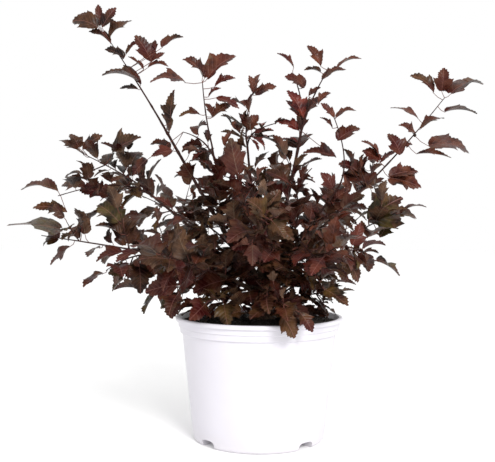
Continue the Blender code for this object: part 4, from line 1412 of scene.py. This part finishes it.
def smooth_path(path, steps):
    """The path with more points, on a smooth curve through its own."""
    points = []
    for k in range(len(path) - 1):
        a = path[max(k - 1, 0)]
        b, c = path[k], path[k + 1]
        d = path[min(k + 2, len(path) - 1)]
        for j in range(steps):
            t = j / steps
            points.append(0.5 * (2.0 * b + (c - a) * t + (2.0 * a - 5.0 * b + 4.0 * c - d) * t * t
                                 + (3.0 * b - a - 3.0 * c + d) * t ** 3))
    points.append(path[-1])
    return points


def knotted_tube(path, start_radius, end_radius, sides, seed):
    """A tube with swollen leaf joints and a rough skin."""
    points, faces = tube(path, start_radius, end_radius, sides)
    rings = len(path)
    travelled = 0.0
    for k in range(rings):
        if k:
            travelled += (path[k] - path[k - 1]).length
        off = (travelled / KNOT_SPACING + KNOT_STAGGER * seed) % 1.0 - 0.5
        knot = KNOT_SWELL * math.exp(-(off * KNOT_SHARPNESS) ** 2)
        for j in range(sides):
            index = k * sides + j
            rough = 1.0 + knot + BARK_ROUGH * noise(points[index] * BARK_GRAIN + Vector((seed, 0.0, 0.0)))
            points[index] = path[k] + (points[index] - path[k]) * rough
    return points, faces


def make_canes():
    """The canes with knots and flaking bark, joined into one piece."""
    bark = bark_material("cane_bark", YOUNG_BARK, OLD_BARK, OLD_BARK_TOP)
    shapes = []
    for index, cane in enumerate(CANES):
        path = smooth_path(cane_path(cane), CANE_SMOOTH)
        shape = knotted_tube(path, cane.radius, 0.95 * cane.radius * CANE_TAPER, CANE_ROUND, 10 + index)
        shapes.append((shape, 0))
    canes = wood_joined("cane_wood", shapes, [bark])
    declare(canes, [cane.name for cane in CANES])
    corners = [Vector((radius, height, 0.0)) for radius, height in stem_profile(0.0)]
    outline = [(max(0.0, point.x), point.y) for point in smooth_path(corners, TRUNK_SMOOTH)]
    points, faces = turned(outline, TRUNK_ROUND, stem_foot())
    wide, tall = TRUNK_GRAIN
    rough = []
    for point in points:
        out = Vector((point.x - STEM_X, point.y, 0.0))
        ridge = TRUNK_RIDGE * noise(Vector((point.x * wide, point.y * wide, point.z * tall)))
        rough.append(point + out.normalized() * ridge if out.length > 0.001 else point)
    stem = add_mesh("stem_wood", rough, faces, [bark])
    declare(stem, ["stem"])


def make_studio():
    """The pale floor, the soft lights, the white surround and the camera."""
    size = FLOOR_SIZE
    corners = [(-size, -size, 0.0), (size, -size, 0.0), (size, size, 0.0), (-size, size, 0.0)]
    floor = add_mesh("studio_floor", corners, [(0, 1, 2, 3)], [floor_material()], smooth=False)
    world = bpy.data.worlds.new("studio")
    bpy.context.scene.world = world
    world.use_nodes = True
    ground = world.node_tree.nodes["Background"]
    ground.inputs["Color"].default_value = (1.0, 1.0, 1.0, 1.0)
    ground.inputs["Strength"].default_value = WORLD_STRENGTH
    for name, place, power, width, colour in LIGHTS:
        data = bpy.data.lights.new(name, "AREA")
        data.energy = power
        data.size = width
        data.color = colour
        lamp = bpy.data.objects.new(name, data)
        lamp.location = place
        lamp.rotation_euler = (Vector(LIGHT_AIM) - Vector(place)).to_track_quat("-Z", "Y").to_euler()
        bpy.context.scene.collection.objects.link(lamp)
    data = bpy.data.cameras.new("camera")
    data.lens = CAMERA_LENS
    data.sensor_width = CAMERA_SENSOR
    data.clip_end = CAMERA_REACH
    camera = bpy.data.objects.new("camera", data)
    camera.location = CAMERA_PLACE
    camera.rotation_mode = "XYZ"
    camera.rotation_euler = (math.radians(90.0 + CAMERA_PITCH), math.radians(CAMERA_ROLL), 0.0)
    bpy.context.scene.collection.objects.link(camera)
    bpy.context.scene.camera = camera
    bpy.context.scene.view_settings.view_transform = "Standard"


CANE_BY_NAME = {cane.name: cane for cane in CANES}

make_studio()
make_pot()
make_soil()
make_canes()
make_foliage(grow_masses())
